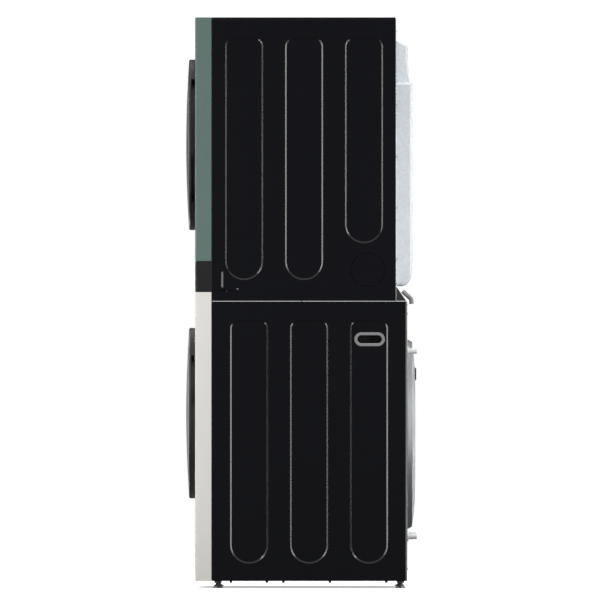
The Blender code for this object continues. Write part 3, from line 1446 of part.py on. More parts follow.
def dryer_shaft():
    pulley, wheel = finish(motor_pulley(), "zinc"), finish(blower_wheel(), "black_plastic")
    hang("dryer_shaft_axis", (BLOWER_X, BELT_Y, BLOWER_Z), [pulley, wheel], (pi / 2, 0, 0))


def belt_outline(grow):
    """The belt's path round the drum and the motor pulley, as (x, z), grown outwards."""
    big, small = DRYER_DRUM_RADIUS + BELT_GAP + grow, PULLEY_RADIUS + BELT_GAP * 0.5 + grow
    dx, dz = BLOWER_X, BLOWER_Z - DRYER_DOOR_Z
    span = hypot(dx, dz)
    toward = atan2(dz, dx)
    spread = acos((big - small) / span)
    start, end = toward + spread, toward - spread + 2 * pi
    outline = []
    steps = 36
    for i in range(steps + 1):
        angle = start + (end - start) * i / steps
        outline.append((big * cos(angle), DRYER_DOOR_Z + big * sin(angle)))
    for i in range(5):
        angle = toward - spread + 2 * spread * i / 4
        outline.append((BLOWER_X + small * cos(angle), BLOWER_Z + small * sin(angle)))
    return outline


def drive_belt():
    half = BELT_WIDTH / 2
    belt = prism("drive_belt", belt_outline(BELT_THICKNESS), "xz", BELT_Y - half, BELT_Y + half)
    room = prism("belt_room", belt_outline(0), "xz", BELT_Y - half - 0.01, BELT_Y + half + 0.01)
    return finish(cut(belt, room), "black_rubber")


# ---- the whole tower -------------------------------------------------------------------------
def build():
    for side, word in ((-1, "left"), (1, "right")):
        washer_side(f"washer_side_{word}", side)
        dryer_side(f"dryer_side_{word}", side)
        hand_hold(f"hand_hold_{word}", side)
        tub_spring(f"tub_spring_{word}", side)
    washer_front()
    dryer_front()
    control_panel()
    for name, (x, z) in button_places().items():
        button(name, x, z)
    top_panel()
    base_pan()
    dryer_base()
    washer_rear()
    access_cover()
    transit_sleeves()
    dryer_rear()
    duct_cover()
    transition_cover()
    drain_elbow()
    feet()
    door("washer_door", WASHER_DOOR_Z, WASHER_BOWL, WASHER_POCKETS)
    hinge("washer_hinge", WASHER_DOOR_Z)
    door("dryer_door", DRYER_DOOR_Z, DRYER_BOWL, DRYER_POCKETS)
    hinge("dryer_hinge", DRYER_DOOR_Z)
    washer_tub()
    counterweight()
    door_gasket()
    stator()
    washer_drive()
    detergent_drawer()
    dispenser_housing()
    filter_flap()
    drain_pump()
    dryer_drum()
    dryer_bulkhead()
    lint_filter()
    blower_housing()
    exhaust_duct()
    dryer_motor()
    dryer_shaft()
    drive_belt()


clear_scene()
PARTS = add_collection("laundry_tower")
CUTTERS = add_collection("cutters")
build()
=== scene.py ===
"""Finishes and fine surfaces for a laundry tower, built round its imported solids.

Metres, +Z up; the front faces -Y and the door-handle side is +X.
"""

import json
from math import atan2, cos, pi, radians, sin, tan

import bmesh
import bpy
from bpy.props import FloatProperty, FloatVectorProperty, IntProperty, PointerProperty
from mathutils import Matrix, Vector


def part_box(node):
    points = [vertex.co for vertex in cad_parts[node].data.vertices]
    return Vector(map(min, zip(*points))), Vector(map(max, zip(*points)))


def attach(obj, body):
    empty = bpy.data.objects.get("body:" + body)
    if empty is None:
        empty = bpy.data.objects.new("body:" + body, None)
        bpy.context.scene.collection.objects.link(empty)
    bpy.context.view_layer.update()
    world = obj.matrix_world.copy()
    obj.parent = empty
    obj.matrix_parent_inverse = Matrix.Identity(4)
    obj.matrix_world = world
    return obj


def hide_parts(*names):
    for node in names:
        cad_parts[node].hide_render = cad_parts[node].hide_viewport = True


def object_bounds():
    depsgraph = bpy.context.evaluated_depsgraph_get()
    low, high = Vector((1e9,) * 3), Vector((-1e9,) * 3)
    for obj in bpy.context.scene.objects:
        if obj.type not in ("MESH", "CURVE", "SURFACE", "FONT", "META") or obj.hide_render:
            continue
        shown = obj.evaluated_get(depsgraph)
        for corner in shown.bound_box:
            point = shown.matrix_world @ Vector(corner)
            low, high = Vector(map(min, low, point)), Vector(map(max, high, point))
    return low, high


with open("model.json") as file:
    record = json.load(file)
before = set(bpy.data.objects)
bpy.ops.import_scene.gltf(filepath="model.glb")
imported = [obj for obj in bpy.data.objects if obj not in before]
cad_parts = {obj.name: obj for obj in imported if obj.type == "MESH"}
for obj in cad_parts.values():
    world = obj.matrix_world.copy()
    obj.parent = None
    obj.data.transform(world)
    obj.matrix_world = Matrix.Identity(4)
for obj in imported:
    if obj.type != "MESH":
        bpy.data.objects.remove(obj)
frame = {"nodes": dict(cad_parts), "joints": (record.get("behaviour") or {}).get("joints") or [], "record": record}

bl_info = {
    "name": "Laundry tower finishes",
    "version": (1, 0, 0),
    "blender": (4, 5, 0),
    "location": "3D View > Sidebar > Laundry tower",
    "description": "Pressed panels, doors, covers and finishes for a laundry tower",
    "category": "Object",
}

CAD_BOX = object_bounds()
RECORD = frame["record"]
BODY_OF = {node: body for body, nodes in RECORD["behaviour"]["bodies"].items() for node in nodes}
SLOT_OF = {part["node"]: part["material_slot"] for part in RECORD["subparts"]}

# ---- places read from the frame --------------------------------------------------------------
TOP_Z = CAD_BOX[1].z
HALF = CAD_BOX[1].x
SEAM_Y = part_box("washer_side_right")[0].y
FACE_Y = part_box("washer_front_panel")[0].y
BASE_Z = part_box("washer_side_right")[0].z
SEAM_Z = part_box("washer_side_right")[1].z
WASHER_REAR_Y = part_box("washer_side_right")[1].y
DRYER_REAR_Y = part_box("dryer_side_right")[1].y
PLATE_LOW, PLATE_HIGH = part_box("washer_rear_panel")
DUCT_LOW, DUCT_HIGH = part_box("rear_duct_cover")
ACCESS_LOW, ACCESS_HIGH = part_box("rear_access_cover")
JOINTS = {joint["name"]: joint for joint in frame["joints"]}
WASHER_DOOR_Z = JOINTS["washer_door_hinge"]["pos_m"][2]
DRYER_DOOR_Z = JOINTS["dryer_door_hinge"]["pos_m"][2]
HINGE_X, HINGE_Y = JOINTS["washer_door_hinge"]["pos_m"][:2]
DOOR_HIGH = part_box("washer_door")[1]
DOOR_RADIUS = DOOR_HIGH.x
DOOR_BACK = DOOR_HIGH.y
WINDOW_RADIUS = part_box("washer_door_window")[1].x
SPIN_AXIS = Vector(JOINTS["washer_drum_spin"]["axis"])
SPIN_POINT = Vector(JOINTS["washer_drum_spin"]["pos_m"])
TILT = atan2(SPIN_AXIS.z, -SPIN_AXIS.y)


# ---- what a user would change ----------------------------------------------------------------
class TowerSizes(bpy.types.PropertyGroup):
    """Sizes of the fine surfaces."""

    rib_width: FloatProperty(
        name="Rib width",
        description="Width of a pressed rib",
        default=0.1265,
        unit="LENGTH",
    )
    rib_depth: FloatProperty(
        name="Rib depth",
        description="Depth of a pressed rib",
        default=0.003,
        unit="LENGTH",
    )
    rib_slope: FloatProperty(
        name="Rib slope",
        description="Width of a rib's sloped edge",
        default=0.006,
        unit="LENGTH",
    )
    rib_angle: FloatProperty(
        name="Rib angle",
        description="Steepest angle of a rib's edge",
        default=radians(31),
        subtype="ANGLE",
    )
    edge_radius: FloatProperty(
        name="Cover edge",
        description="Radius of the front covers' upright edges",
        default=0.0055,
        unit="LENGTH",
    )
    sheet: FloatProperty(
        name="Sheet",
        description="Thickness of the painted sheet steel",
        default=0.0012,
        unit="LENGTH",
    )
    screw_radius: FloatProperty(
        name="Screw head",
        description="Radius of the pan-head screws",
        default=0.0042,
        unit="LENGTH",
    )
    perforations: IntProperty(
        name="Perforations", description="Drain holes round the washer's drum", default=72, min=8
    )


class TowerColours(bpy.types.PropertyGroup):
    """Colours of the painted and moulded pieces, in linear light."""

    green: FloatVectorProperty(
        name="Dryer front",
        description="Grey-green front paint",
        subtype="COLOR",
        default=(0.115, 0.180, 0.163),
    )
    beige: FloatVectorProperty(
        name="Washer front",
        description="Warm beige front paint",
        subtype="COLOR",
        default=(0.76, 0.73, 0.69),
    )
    black: FloatVectorProperty(
        name="Side panels",
        description="Blue-black side paint",
        subtype="COLOR",
        default=(0.0040, 0.0042, 0.0062),
    )
    band: FloatVectorProperty(
        name="Control band",
        description="Near-black band",
        subtype="COLOR",
        default=(0.020, 0.020, 0.022),
    )
    door: FloatVectorProperty(
        name="Doors",
        description="Dark grey door rings",
        subtype="COLOR",
        default=(0.022, 0.022, 0.022),
    )
    zinc_sheet: FloatVectorProperty(
        name="Galvanised sheet",
        description="Zinc-coated rear covers",
        subtype="COLOR",
        default=(0.88, 0.92, 0.95),
    )


# ---- node trees ------------------------------------------------------------------------------
def connect(tree, entry, value):
    """Gives a node's input a link or a plain value."""
    if isinstance(value, Wire):
        tree.links.new(value.socket, entry)
    else:
        entry.default_value = value


class Wire:
    """A node's output that takes part in plain arithmetic."""

    def __init__(self, tree, socket):
        self.tree = tree
        self.socket = socket

    def maths(self, operation, *values):
        node = self.tree.nodes.new("ShaderNodeMath")
        node.operation = operation
        for entry, value in zip(node.inputs, values):
            connect(self.tree, entry, value)
        return Wire(self.tree, node.outputs[0])

    def __add__(self, other):
        return self.maths("ADD", self, other)

    def __sub__(self, other):
        return self.maths("SUBTRACT", self, other)

    def __rsub__(self, other):
        return self.maths("SUBTRACT", other, self)

    def __mul__(self, other):
        return self.maths("MULTIPLY", self, other)

    def __truediv__(self, other):
        return self.maths("DIVIDE", self, other)

    def __pow__(self, other):
        return self.maths("POWER", self, other)

    __radd__ = __add__
    __rmul__ = __mul__


class Tree:
    """A node tree and the one method that adds nodes to it."""

    def __init__(self, tree):
        self.tree = tree

    def add(self, kind, settings=None, sockets=None, output=0):
        node = self.tree.nodes.new(kind)
        for name, value in (settings or {}).items():
            setattr(node, name, value)
        for name, value in (sockets or {}).items():
            connect(self.tree, node.inputs[name], value)
        return Wire(self.tree, node.outputs[output])


class Finish(Tree):
    """A material in the making: one Principled shader and what feeds it."""

    def __init__(self, name, **constants):
        self.material = bpy.data.materials.new(name)
        self.material.use_nodes = True
        super().__init__(self.material.node_tree)
        self.shader = self.tree.nodes["Principled BSDF"]
        self.place = self.add("ShaderNodeTexCoord", output="Object")
        for socket, value in constants.items():
            self.feed(socket.replace("_", " "), value)

    def feed(self, socket, value):
        connect(self.tree, self.shader.inputs[socket], value)

    def noise(self, scale, detail=2.0, stretch=(1.0, 1.0, 1.0)):
        """Soft noise from 0 to 1; the scale is in waves a metre."""
        where = self.add("ShaderNodeMapping", None, {"Vector": self.place, "Scale": stretch})
        return self.add("ShaderNodeTexNoise", None, {"Vector": where, "Scale": scale, "Detail": detail})

    def ramp(self, value, low, high):
        """0 below low and 1 above high, with a soft step between."""
        return self.add(
            "ShaderNodeMapRange",
            {"interpolation_type": "SMOOTHSTEP"},
            {"Value": value, "From Min": low, "From Max": high},
        )

    def mix(self, factor, first, second):
        """A blend of two colours."""
        return self.add(
            "ShaderNodeMix", {"data_type": "RGBA"}, {0: factor, 6: (*first, 1.0), 7: (*second, 1.0)}, 2
        )

    def bump(self, height, distance):
        self.feed("Normal", self.add("ShaderNodeBump", None, {"Height": height, "Distance": distance}))


def tinted(colour, share):
    return tuple(channel * share for channel in colour)


def enamel(name, colour, roughness, coat, peel=0.0000015):
    """Baked paint on steel: faint orange peel, slow tone changes and a little dust."""
    look = Finish(name, Coat_Weight=coat, Coat_Roughness=0.10)
    cloud = look.noise(2.5, 3.0)
    dust = look.ramp(look.noise(18.0, 6.0), 0.45, 0.75)
    look.feed("Base Color", look.mix(cloud, tinted(colour, 0.93), tinted(colour, 1.07)))
    look.feed("Roughness", roughness + dust * 0.03 + cloud * 0.03)
    look.bump(look.noise(260.0, 1.0), peel)
    return look.material


def galvanised(name, colour, metallic):
    """Zinc-coated sheet with its spangle."""
    look = Finish(name, Metallic=metallic)
    cell = look.add("ShaderNodeTexVoronoi", None, {"Vector": look.place, "Scale": 160.0}, "Color")
    spangle = look.add("ShaderNodeSeparateColor", None, {"Color": cell})
    cloud = look.noise(4.0, 3.0)
    look.feed("Base Color", look.mix(spangle * 0.7 + cloud * 0.3, tinted(colour, 0.92), tinted(colour, 1.06)))
    look.feed("Roughness", 0.34 + spangle * 0.08 + cloud * 0.06)
    look.bump(look.noise(400.0, 2.0) + spangle * 0.4, 0.000003)
    return look.material


def stainless():
    """Rolled stainless sheet, brushed round the drum."""
    look = Finish("brushed_stainless", Metallic=1.0)
    lines = look.noise(1.0, 4.0, (6.0, 900.0, 6.0))
    cloud = look.noise(6.0, 3.0)
    look.feed("Base Color", look.mix(lines, (0.50, 0.50, 0.49), (0.66, 0.66, 0.65)))
    look.feed("Roughness", 0.20 + lines * 0.16 + cloud * 0.06)
    look.bump(lines, 0.000015)
    return look.material


def plated(name, colour):
    """Zinc-plated or cast small metal."""
    look = Finish(name, Metallic=0.9)
    cloud = look.noise(30.0, 4.0)
    look.feed("Base Color", look.mix(cloud, tinted(colour, 0.82), tinted(colour, 1.10)))
    look.feed("Roughness", 0.30 + cloud * 0.18)
    look.bump(look.noise(400.0, 3.0), 0.000020)
    return look.material


def moulded(name, colour, roughness, grain=0.000020, coat=0.0):
    """Moulded plastic with a fine grain."""
    look = Finish(name, Coat_Weight=coat, Coat_Roughness=0.06)
    cloud = look.noise(9.0, 3.0)
    look.feed("Base Color", look.mix(cloud, tinted(colour, 0.94), tinted(colour, 1.06)))
    look.feed("Roughness", roughness + cloud * 0.06)
    look.bump(look.noise(1500.0, 2.0), grain)
    return look.material


def rubber(name, colour):
    """Matt rubber with talc left in its folds."""
    look = Finish(name, Sheen_Weight=0.15)
    talc = look.ramp(look.noise(25.0, 6.0), 0.52, 0.75)
    look.feed("Base Color", look.mix(talc, colour, tinted(colour, 1.35)))
    look.feed("Roughness", 0.58 + talc * 0.20)
    look.bump(look.noise(650.0, 3.0), 0.000040)
    return look.material


def concrete():
    """Cast counterweight: sand, pores and patches of tone."""
    look = Finish("cast_concrete")
    sand, patch = look.noise(420.0, 6.0), look.noise(14.0, 4.0)
    pores = look.ramp(look.noise(150.0, 2.0), 0.66, 0.72)
    look.feed("Base Color", look.mix(patch * 0.6 + sand * 0.4, (0.26, 0.25, 0.23), (0.44, 0.42, 0.39)))
    look.feed("Roughness", 0.82 + sand * 0.12)
    look.bump(sand - pores * 1.5, 0.0003)
    return look.material


def varnished_copper():
    """Enamelled windings, laid in fine turns."""
    look = Finish("varnished_copper", Metallic=0.85)
    turns = look.noise(1.0, 2.0, (900.0, 60.0, 900.0))
    look.feed("Base Color", look.mix(turns, (0.32, 0.11, 0.04), (0.55, 0.24, 0.10)))
    look.feed("Roughness", 0.28 + turns * 0.20)
    look.bump(turns, 0.00010)
    return look.material


def smoked_glass():
    """Tinted glass with a trace of wiping on it."""
    look = Finish("smoked_glass", Transmission_Weight=0.75, IOR=1.5)
    smear = look.ramp(look.noise(7.0, 5.0), 0.50, 0.85)
    look.feed("Base Color", look.mix(smear, (0.055, 0.058, 0.062), (0.075, 0.078, 0.080)))
    look.feed("Roughness", 0.015 + smear * 0.05)
    return look.material


def shadow_gap():
    """Painted shade: a flat near-black finish put where a recess or a hole would be dark with shade."""
    look = Finish("dark_recess")
    tone = look.noise(200.0, 2.0)
    look.feed("Base Color", look.mix(tone, (0.004, 0.004, 0.004), (0.010, 0.010, 0.010)))
    look.feed("Roughness", 0.75 + tone * 0.1)
    return look.material


def finishes():
    """Every finish by its short name."""
    colours = bpy.context.scene.tower_colours
    return {
        "green_paint": lambda: enamel("green_enamel", tuple(colours.green), 0.40, 0.15),
        "beige_paint": lambda: enamel("beige_enamel", tuple(colours.beige), 0.40, 0.15),
        "black_paint": lambda: enamel("black_enamel", tuple(colours.black), 0.15, 0.10),
        "band_plastic": lambda: moulded("band_gloss", tuple(colours.band), 0.22, 0.000001, 0.2),
        "door_plastic": lambda: moulded("door_gloss", tuple(colours.door), 0.30, 0.000001, 0.0),
        "smoked_glass": smoked_glass,
        "galvanised": lambda: galvanised("galvanised_sheet", tuple(colours.zinc_sheet), 0.30),
        # a darker copy of the galvanised sheet, 0.36 of its colour: painted shade for the dim room the washer's
        # back reflects
        "aluminised": lambda: galvanised("aluminised_sheet", tinted(colours.zinc_sheet, 0.36), 0.60),
        "stainless": stainless,
        "zinc": lambda: plated("zinc_plated", (0.34, 0.36, 0.37)),
        "cast": lambda: plated("cast_alloy", (0.44, 0.45, 0.46)),
        "grey_plastic": lambda: moulded("grey_moulding", (0.25, 0.25, 0.26), 0.42),
        "white_plastic": lambda: moulded("white_moulding", (0.80, 0.81, 0.80), 0.40),
        "black_plastic": lambda: moulded("black_moulding", (0.030, 0.030, 0.032), 0.40),
        "grey_rubber": lambda: rubber("grey_rubber", (0.17, 0.17, 0.18)),
        "black_rubber": lambda: rubber("black_rubber", (0.018, 0.018, 0.018)),
        "concrete": concrete,
        "windings": varnished_copper,
        "dark": shadow_gap,
    # painted shade for recesses, holes and slots
    }


MADE = {}


def finish(name):
    """The material of that short name, made the first time it is asked for."""
    if name not in MADE:
        MADE[name] = finishes()[name]()
    return MADE[name]


# ---- pieces ----------------------------------------------------------------------------------
def settle(item, looks, body, nodes=()):
    """Links a finished piece, gives it its finishes and fixes it to its body."""
    if item.name not in bpy.context.scene.collection.objects:
        bpy.context.scene.collection.objects.link(item)
    if not item.data.materials:
        for look in looks:
            item.data.materials.append(finish(look))
    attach(item, body)
    if nodes:
        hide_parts(*nodes)
    return item


def piece(name, mesh, looks, node, replace=True, sharp=35, even=True):
    """A piece that stands for, or belongs to, a node of the frame."""
    mesh.shade_smooth()
    mesh.set_sharp_from_angle(angle=radians(sharp))
    item = bpy.data.objects.new(name, mesh)
    looks = [looks] if isinstance(looks, str) else looks
    settle(item, looks, BODY_OF[node], (node,) if replace else ())
    if even:
        weigh = item.modifiers.new("even_shading", "WEIGHTED_NORMAL")
        weigh.keep_sharp = True
    return item


def to_mesh(shape, name):
    mesh = bpy.data.meshes.new(name)
    shape.to_mesh(mesh)
    shape.free()
    return mesh


def baked(item):
    """The evaluated mesh of an object, which is then removed."""
    bpy.context.view_layer.update()
    graph = bpy.context.evaluated_depsgraph_get()
    mesh = bpy.data.meshes.new_from_object(item.evaluated_get(graph))
    bpy.data.objects.remove(item)
    return mesh


def loose(name, mesh):
    """An object for modifiers to work on before it is baked."""
    item = bpy.data.objects.new(name, mesh)
    bpy.context.scene.collection.objects.link(item)
    return item


def softened(node, look, width=0.0006, segments=2, angle=35, name=None):
    """A welded copy of a node with its edges broken."""
    shape = bmesh.new()
    shape.from_mesh(frame["nodes"][node].data)
    bmesh.ops.remove_doubles(shape, verts=shape.verts, dist=0.000002)
    bmesh.ops.dissolve_limit(shape, angle_limit=radians(0.3), verts=shape.verts, edges=shape.edges)
    item = loose(node + "_draft", to_mesh(shape, node + "_draft"))
    item.data.materials.clear()
    if width:
        edge = item.modifiers.new("edge", "BEVEL")
        edge.width = width
        edge.segments = segments
        edge.limit_method = "ANGLE"
        edge.angle_limit = radians(angle)
    return piece(name or node + "_finished", baked(item), look, node)


# ---- pressed sheet ---------------------------------------------------------------------------
def arc(u, v, radius, start, end, steps):
    """Points on an arc between two angles in degrees, both ends included."""
    angles = [radians(start + (end - start) * i / steps) for i in range(steps + 1)]
    return [(u + radius * cos(a), v + radius * sin(a)) for a in angles]


def circle(u, v, radius, steps=96):
    return arc(u, v, radius, 0, 360 - 360 / steps, steps - 1)


def field(left, right, bottom, top, low_radius, high_radius=None, steps=6, high_steps=None):
    """An upright rounded rectangle, counterclockwise from its lower left corner."""
    high = low_radius if high_radius is None else high_radius
    more = high_steps or steps
    points = arc(left + low_radius, bottom + low_radius, low_radius, 180, 270, steps)
    points += arc(right - low_radius, bottom + low_radius, low_radius, 270, 360, steps)
    points += arc(right - high, top - high, high, 0, 90, more)
    points += arc(left + high, top - high, high, 90, 180, more)
    return points


def quarter(radius, steps=5):
    """Insets and depths round a folded edge, from the flat face to the flange."""
    turns = [i * pi / 2 / steps for i in range(steps + 1)]
    return [(radius * (1 - sin(turn)), radius * (1 - cos(turn))) for turn in turns]


def ramp_profile(width, depth, angle, steps=4):
    """Insets and depths across a pressed edge: a straight slope between two small arcs."""
    radius = (width * tan(angle) - depth) / (2 * (sin(angle) * tan(angle) - (1 - cos(angle))))
    turns = [angle * i / steps for i in range(steps + 1)]
    upper = [(radius * sin(turn), radius * (1 - cos(turn))) for turn in turns]
    lower = [(width - inset, depth - drop) for inset, drop in reversed(upper)]
    return upper + lower


class Pressing:
    """Sheet metal in the making: flat fields joined by rings of points at stated depths."""

    def __init__(self, across, up, inward, origin=(0, 0, 0)):
        self.shape = bmesh.new()
        turn = Matrix((across, up, inward)).transposed().to_4x4()
        self.frame = Matrix.Translation(origin) @ turn

    def ring(self, loop, depth):
        return [self.shape.verts.new(self.frame @ Vector((u, v, depth))) for u, v in loop]

    def walls(self, rings):
        for first, second in zip(rings, rings[1:]):
            for i in range(len(first)):
                j = (i + 1) % len(first)
                self.shape.faces.new((first[i], first[j], second[j], second[i]))

    def flat(self, outer, holes=()):
        """Fills between an outer ring and any holes in it."""
        edges = []
        for ring in (outer, *holes):
            for i, point in enumerate(ring):
                pair = (point, ring[(i + 1) % len(ring)])
                edges.append(self.shape.edges.get(pair) or self.shape.edges.new(pair))
        bmesh.ops.triangle_fill(self.shape, use_beauty=True, use_dissolve=False, edges=edges)

    def feature(self, loops):
        """Rings from (loop, depth) pairs, walled; gives the first and the last ring."""
        rings = [self.ring(loop, depth) for loop, depth in loops]
        self.walls(rings)
        return rings[0], rings[-1]

    def sheet(self, name, thickness):
        """The finished mesh, given its thickness away from the side that shows."""
        bmesh.ops.recalc_face_normals(self.shape, faces=self.shape.faces)
        item = loose(name, to_mesh(self.shape, name))
        if thickness:
            wall = item.modifiers.new("wall", "SOLIDIFY")
            wall.thickness = thickness
            wall.offset = -1
        return baked(item)


def lathe(name, profile, steps, frame_at, closed=False):
    """A turned shape about the frame's Z; profile is (radius, height), outside first."""
    shape = bmesh.new()
    rings = []
    for radius, height in profile:
        if radius < 1e-7:
            rings.append([shape.verts.new(frame_at @ Vector((0, 0, height)))])
            continue
        ring = []
        for i in range(steps):
            turn = 2 * pi * i / steps
            ring.append(shape.verts.new(frame_at @ Vector((radius * cos(turn), radius * sin(turn), height))))
        rings.append(ring)
    pairs = list(zip(rings, rings[1:])) + ([(rings[-1], rings[0])] if closed else [])
    for first, second in pairs:
        for i in range(steps):
            j = (i + 1) % steps
            if len(first) == 1 and len(second) == 1:
                continue
            if len(first) == 1:
                shape.faces.new((first[0], second[j], second[i]))
            elif len(second) == 1:
                shape.faces.new((first[i], first[j], second[0]))
            else:
                shape.faces.new((first[i], first[j], second[j], second[i]))
    bmesh.ops.recalc_face_normals(shape, faces=shape.faces)
    return to_mesh(shape, name)


def facing(direction, origin):
    """A frame whose Z runs along a direction from a point."""
    turn = Vector(direction).to_track_quat("Z", "Y").to_matrix().to_4x4()
    return Matrix.Translation(origin) @ turn


FORWARD = Vector((0, -1, 0))
REARWARD = Vector((0, 1, 0))


def rounded_profile(points, radius, steps=4):
    """A polyline with its inner corners rounded by arcs of at most that radius."""
    out = [points[0]]
    for before, here, after in zip(points, points[1:], points[2:]):
        a, b, c = Vector(before), Vector(here), Vector(after)
        one, two = (a - b), (c - b)
        turn = one.angle(two)
        if pi - turn < 0.05:
            out.append(here)
            continue
        reach = min(radius / tan(turn / 2), one.length * 0.49, two.length * 0.49)
        start, end = b + one.normalized() * reach, b + two.normalized() * reach
        for i in range(steps + 1):
            share = i / steps
            curve = start * (1 - share) ** 2 + b * 2 * share * (1 - share) + end * share**2
            out.append((curve.x, curve.y))
    return out + [points[-1]]


# ---- patterns that repeat --------------------------------------------------------------------
class Pattern(Tree):
    """A Geometry Nodes tree in the making, with named inputs."""

    KINDS = {float: "NodeSocketFloat", int: "NodeSocketInt", Vector: "NodeSocketVector"}

    def __init__(self, name, **inputs):
        group = bpy.data.node_groups.new(name, "GeometryNodeTree")
        super().__init__(group)
        group.interface.new_socket("Geometry", in_out="INPUT", socket_type="NodeSocketGeometry")
        group.interface.new_socket("Geometry", in_out="OUTPUT", socket_type="NodeSocketGeometry")
        for label, value in inputs.items():
            kind = self.KINDS[type(value)]
            socket = group.interface.new_socket(label.replace("_", " "), in_out="INPUT", socket_type=kind)
            socket.default_value = value
        for label in ("Finish", "Dark finish"):
            group.interface.new_socket(label, in_out="INPUT", socket_type="NodeSocketMaterial")
        self.entry = group.nodes.new("NodeGroupInput")

    def given(self, label):
        return Wire(self.tree, self.entry.outputs[label])

    def join(self, *parts):
        node = self.tree.nodes.new("GeometryNodeJoinGeometry")
        for part in parts:
            self.tree.links.new(part.socket, node.inputs[0])
        return Wire(self.tree, node.outputs[0])

    def moved(self, part, offset):
        return self.add("GeometryNodeTransform", None, {"Geometry": part, "Translation": offset})

    def painted(self, part, label):
        return self.add("GeometryNodeSetMaterial", None, {"Geometry": part, "Material": self.given(label)})

    def vector(self, x, y, z):
        return self.add("ShaderNodeCombineXYZ", None, {"X": x, "Y": y, "Z": z})

    def close(self, part):
        """Ends the tree in real geometry."""
        real = self.add("GeometryNodeRealizeInstances", None, {"Geometry": part})
        end = self.tree.nodes.new("NodeGroupOutput")
        self.tree.links.new(real.socket, end.inputs[0])
        return self.tree


def grown(name, mesh, tree, body, slot, looks=("zinc", "dark"), **values):
    """Runs a pattern on a mesh of points and keeps the plain result."""
    host = loose(name + "_points", mesh)
    modifier = host.modifiers.new("pattern", "NODES")
    modifier.node_group = tree
    given = {key.replace("_", " "): value for key, value in values.items()}
    given["Finish"], given["Dark finish"] = (finish(look) for look in looks)
    for socket in tree.interface.items_tree:
        if socket.in_out == "INPUT" and socket.name in given:
            modifier[socket.identifier] = given[socket.name]
    result = baked(host)
    result.set_sharp_from_angle(angle=radians(35))
    item = bpy.data.objects.new(name, result)
    return settle(item, (), body)


def screw_tree():
    """A pan-head screw on every point, facing one way, its cross recess drawn as thin raised bars in a
    painted-shade finish.
    """
    tree = Pattern(
        "screws", Head_radius=0.0042, Head_height=0.0018, Facing=Vector((0, 0, 1))
    )
    radius, height = tree.given("Head radius"), tree.given("Head height")
    base = tree.add(
        "GeometryNodeMeshCone",
        None,
        {"Vertices": 20, "Radius Top": radius * 0.86, "Radius Bottom": radius, "Depth": height * 0.6},
    )
    crown = tree.add(
        "GeometryNodeMeshCone",
        None,
        {"Vertices": 20, "Radius Top": radius * 0.45, "Radius Bottom": radius * 0.86, "Depth": height * 0.4},
    )
    crown = tree.moved(crown, tree.vector(0.0, 0.0, height * 0.6))
    long, thin = radius * 0.95, radius * 0.20
    bars = []
    for size in (tree.vector(long, thin, height * 0.12), tree.vector(thin, long, height * 0.12)):
        bar = tree.add("GeometryNodeMeshCube", None, {"Size": size})
        bars.append(tree.moved(bar, tree.vector(0.0, 0.0, height * 0.97)))
    # the bars of the cross recess take the painted-shade finish
    head = tree.join(
        tree.painted(tree.join(base, crown), "Finish"), tree.painted(tree.join(*bars), "Dark finish")
    )
    turn = tree.add("FunctionNodeAlignRotationToVector", None, {"Vector": tree.given("Facing")})
    spread = tree.add(
        "GeometryNodeInstanceOnPoints",
        None,
        {"Points": tree.given("Geometry"), "Instance": head, "Rotation": turn},
    )
    return tree.close(spread)


def drum_hole_tree():
    """Rows of drain holes round a drum, staggered row by row, about the Z axis; each hole is a flat disc of
    painted shade, not an opening.
    """
    tree = Pattern("drum_holes", Around=72, Rows=16, Radius=0.27, Length=0.35, Hole_radius=0.0017)
    around, rows, radius = tree.given("Around"), tree.given("Rows"), tree.given("Radius")
    grid = tree.add(
        "GeometryNodeMeshGrid", None, {"Size X": 1.0, "Size Y": 1.0, "Vertices X": around, "Vertices Y": rows}
    )
    place = tree.add("GeometryNodeInputPosition")
    split = tree.tree.nodes.new("ShaderNodeSeparateXYZ")
    connect(tree.tree, split.inputs[0], place)
    share, row = Wire(tree.tree, split.outputs[0]) + 0.5, Wire(tree.tree, split.outputs[1]) + 0.5
    number = row * (rows - 1)
    parity = number.maths("FLOORED_MODULO", number + 0.5, 2.0)
    stagger = parity.maths("FLOOR", parity)
    turn = (share * (around - 1) + stagger * 0.5) / around * (2 * pi)
    across, up = turn.maths("COSINE", turn), turn.maths("SINE", turn)
    spot = tree.vector(across * radius, up * radius, row * tree.given("Length"))
    points = tree.add("GeometryNodeSetPosition", None, {"Geometry": grid, "Position": spot})
    inward = tree.vector(across * -1.0, up * -1.0, 0.0)
    align = tree.add("FunctionNodeAlignRotationToVector", None, {"Vector": inward})
    # each hole is a flat disc in the painted-shade finish
    hole = tree.add(
        "GeometryNodeMeshCircle", {"fill_type": "NGON"}, {"Vertices": 8, "Radius": tree.given("Hole radius")}
    )
    spread = tree.add(
        "GeometryNodeInstanceOnPoints", None, {"Points": points, "Instance": hole, "Rotation": align}
    )
    return tree.close(tree.painted(spread, "Dark finish"))


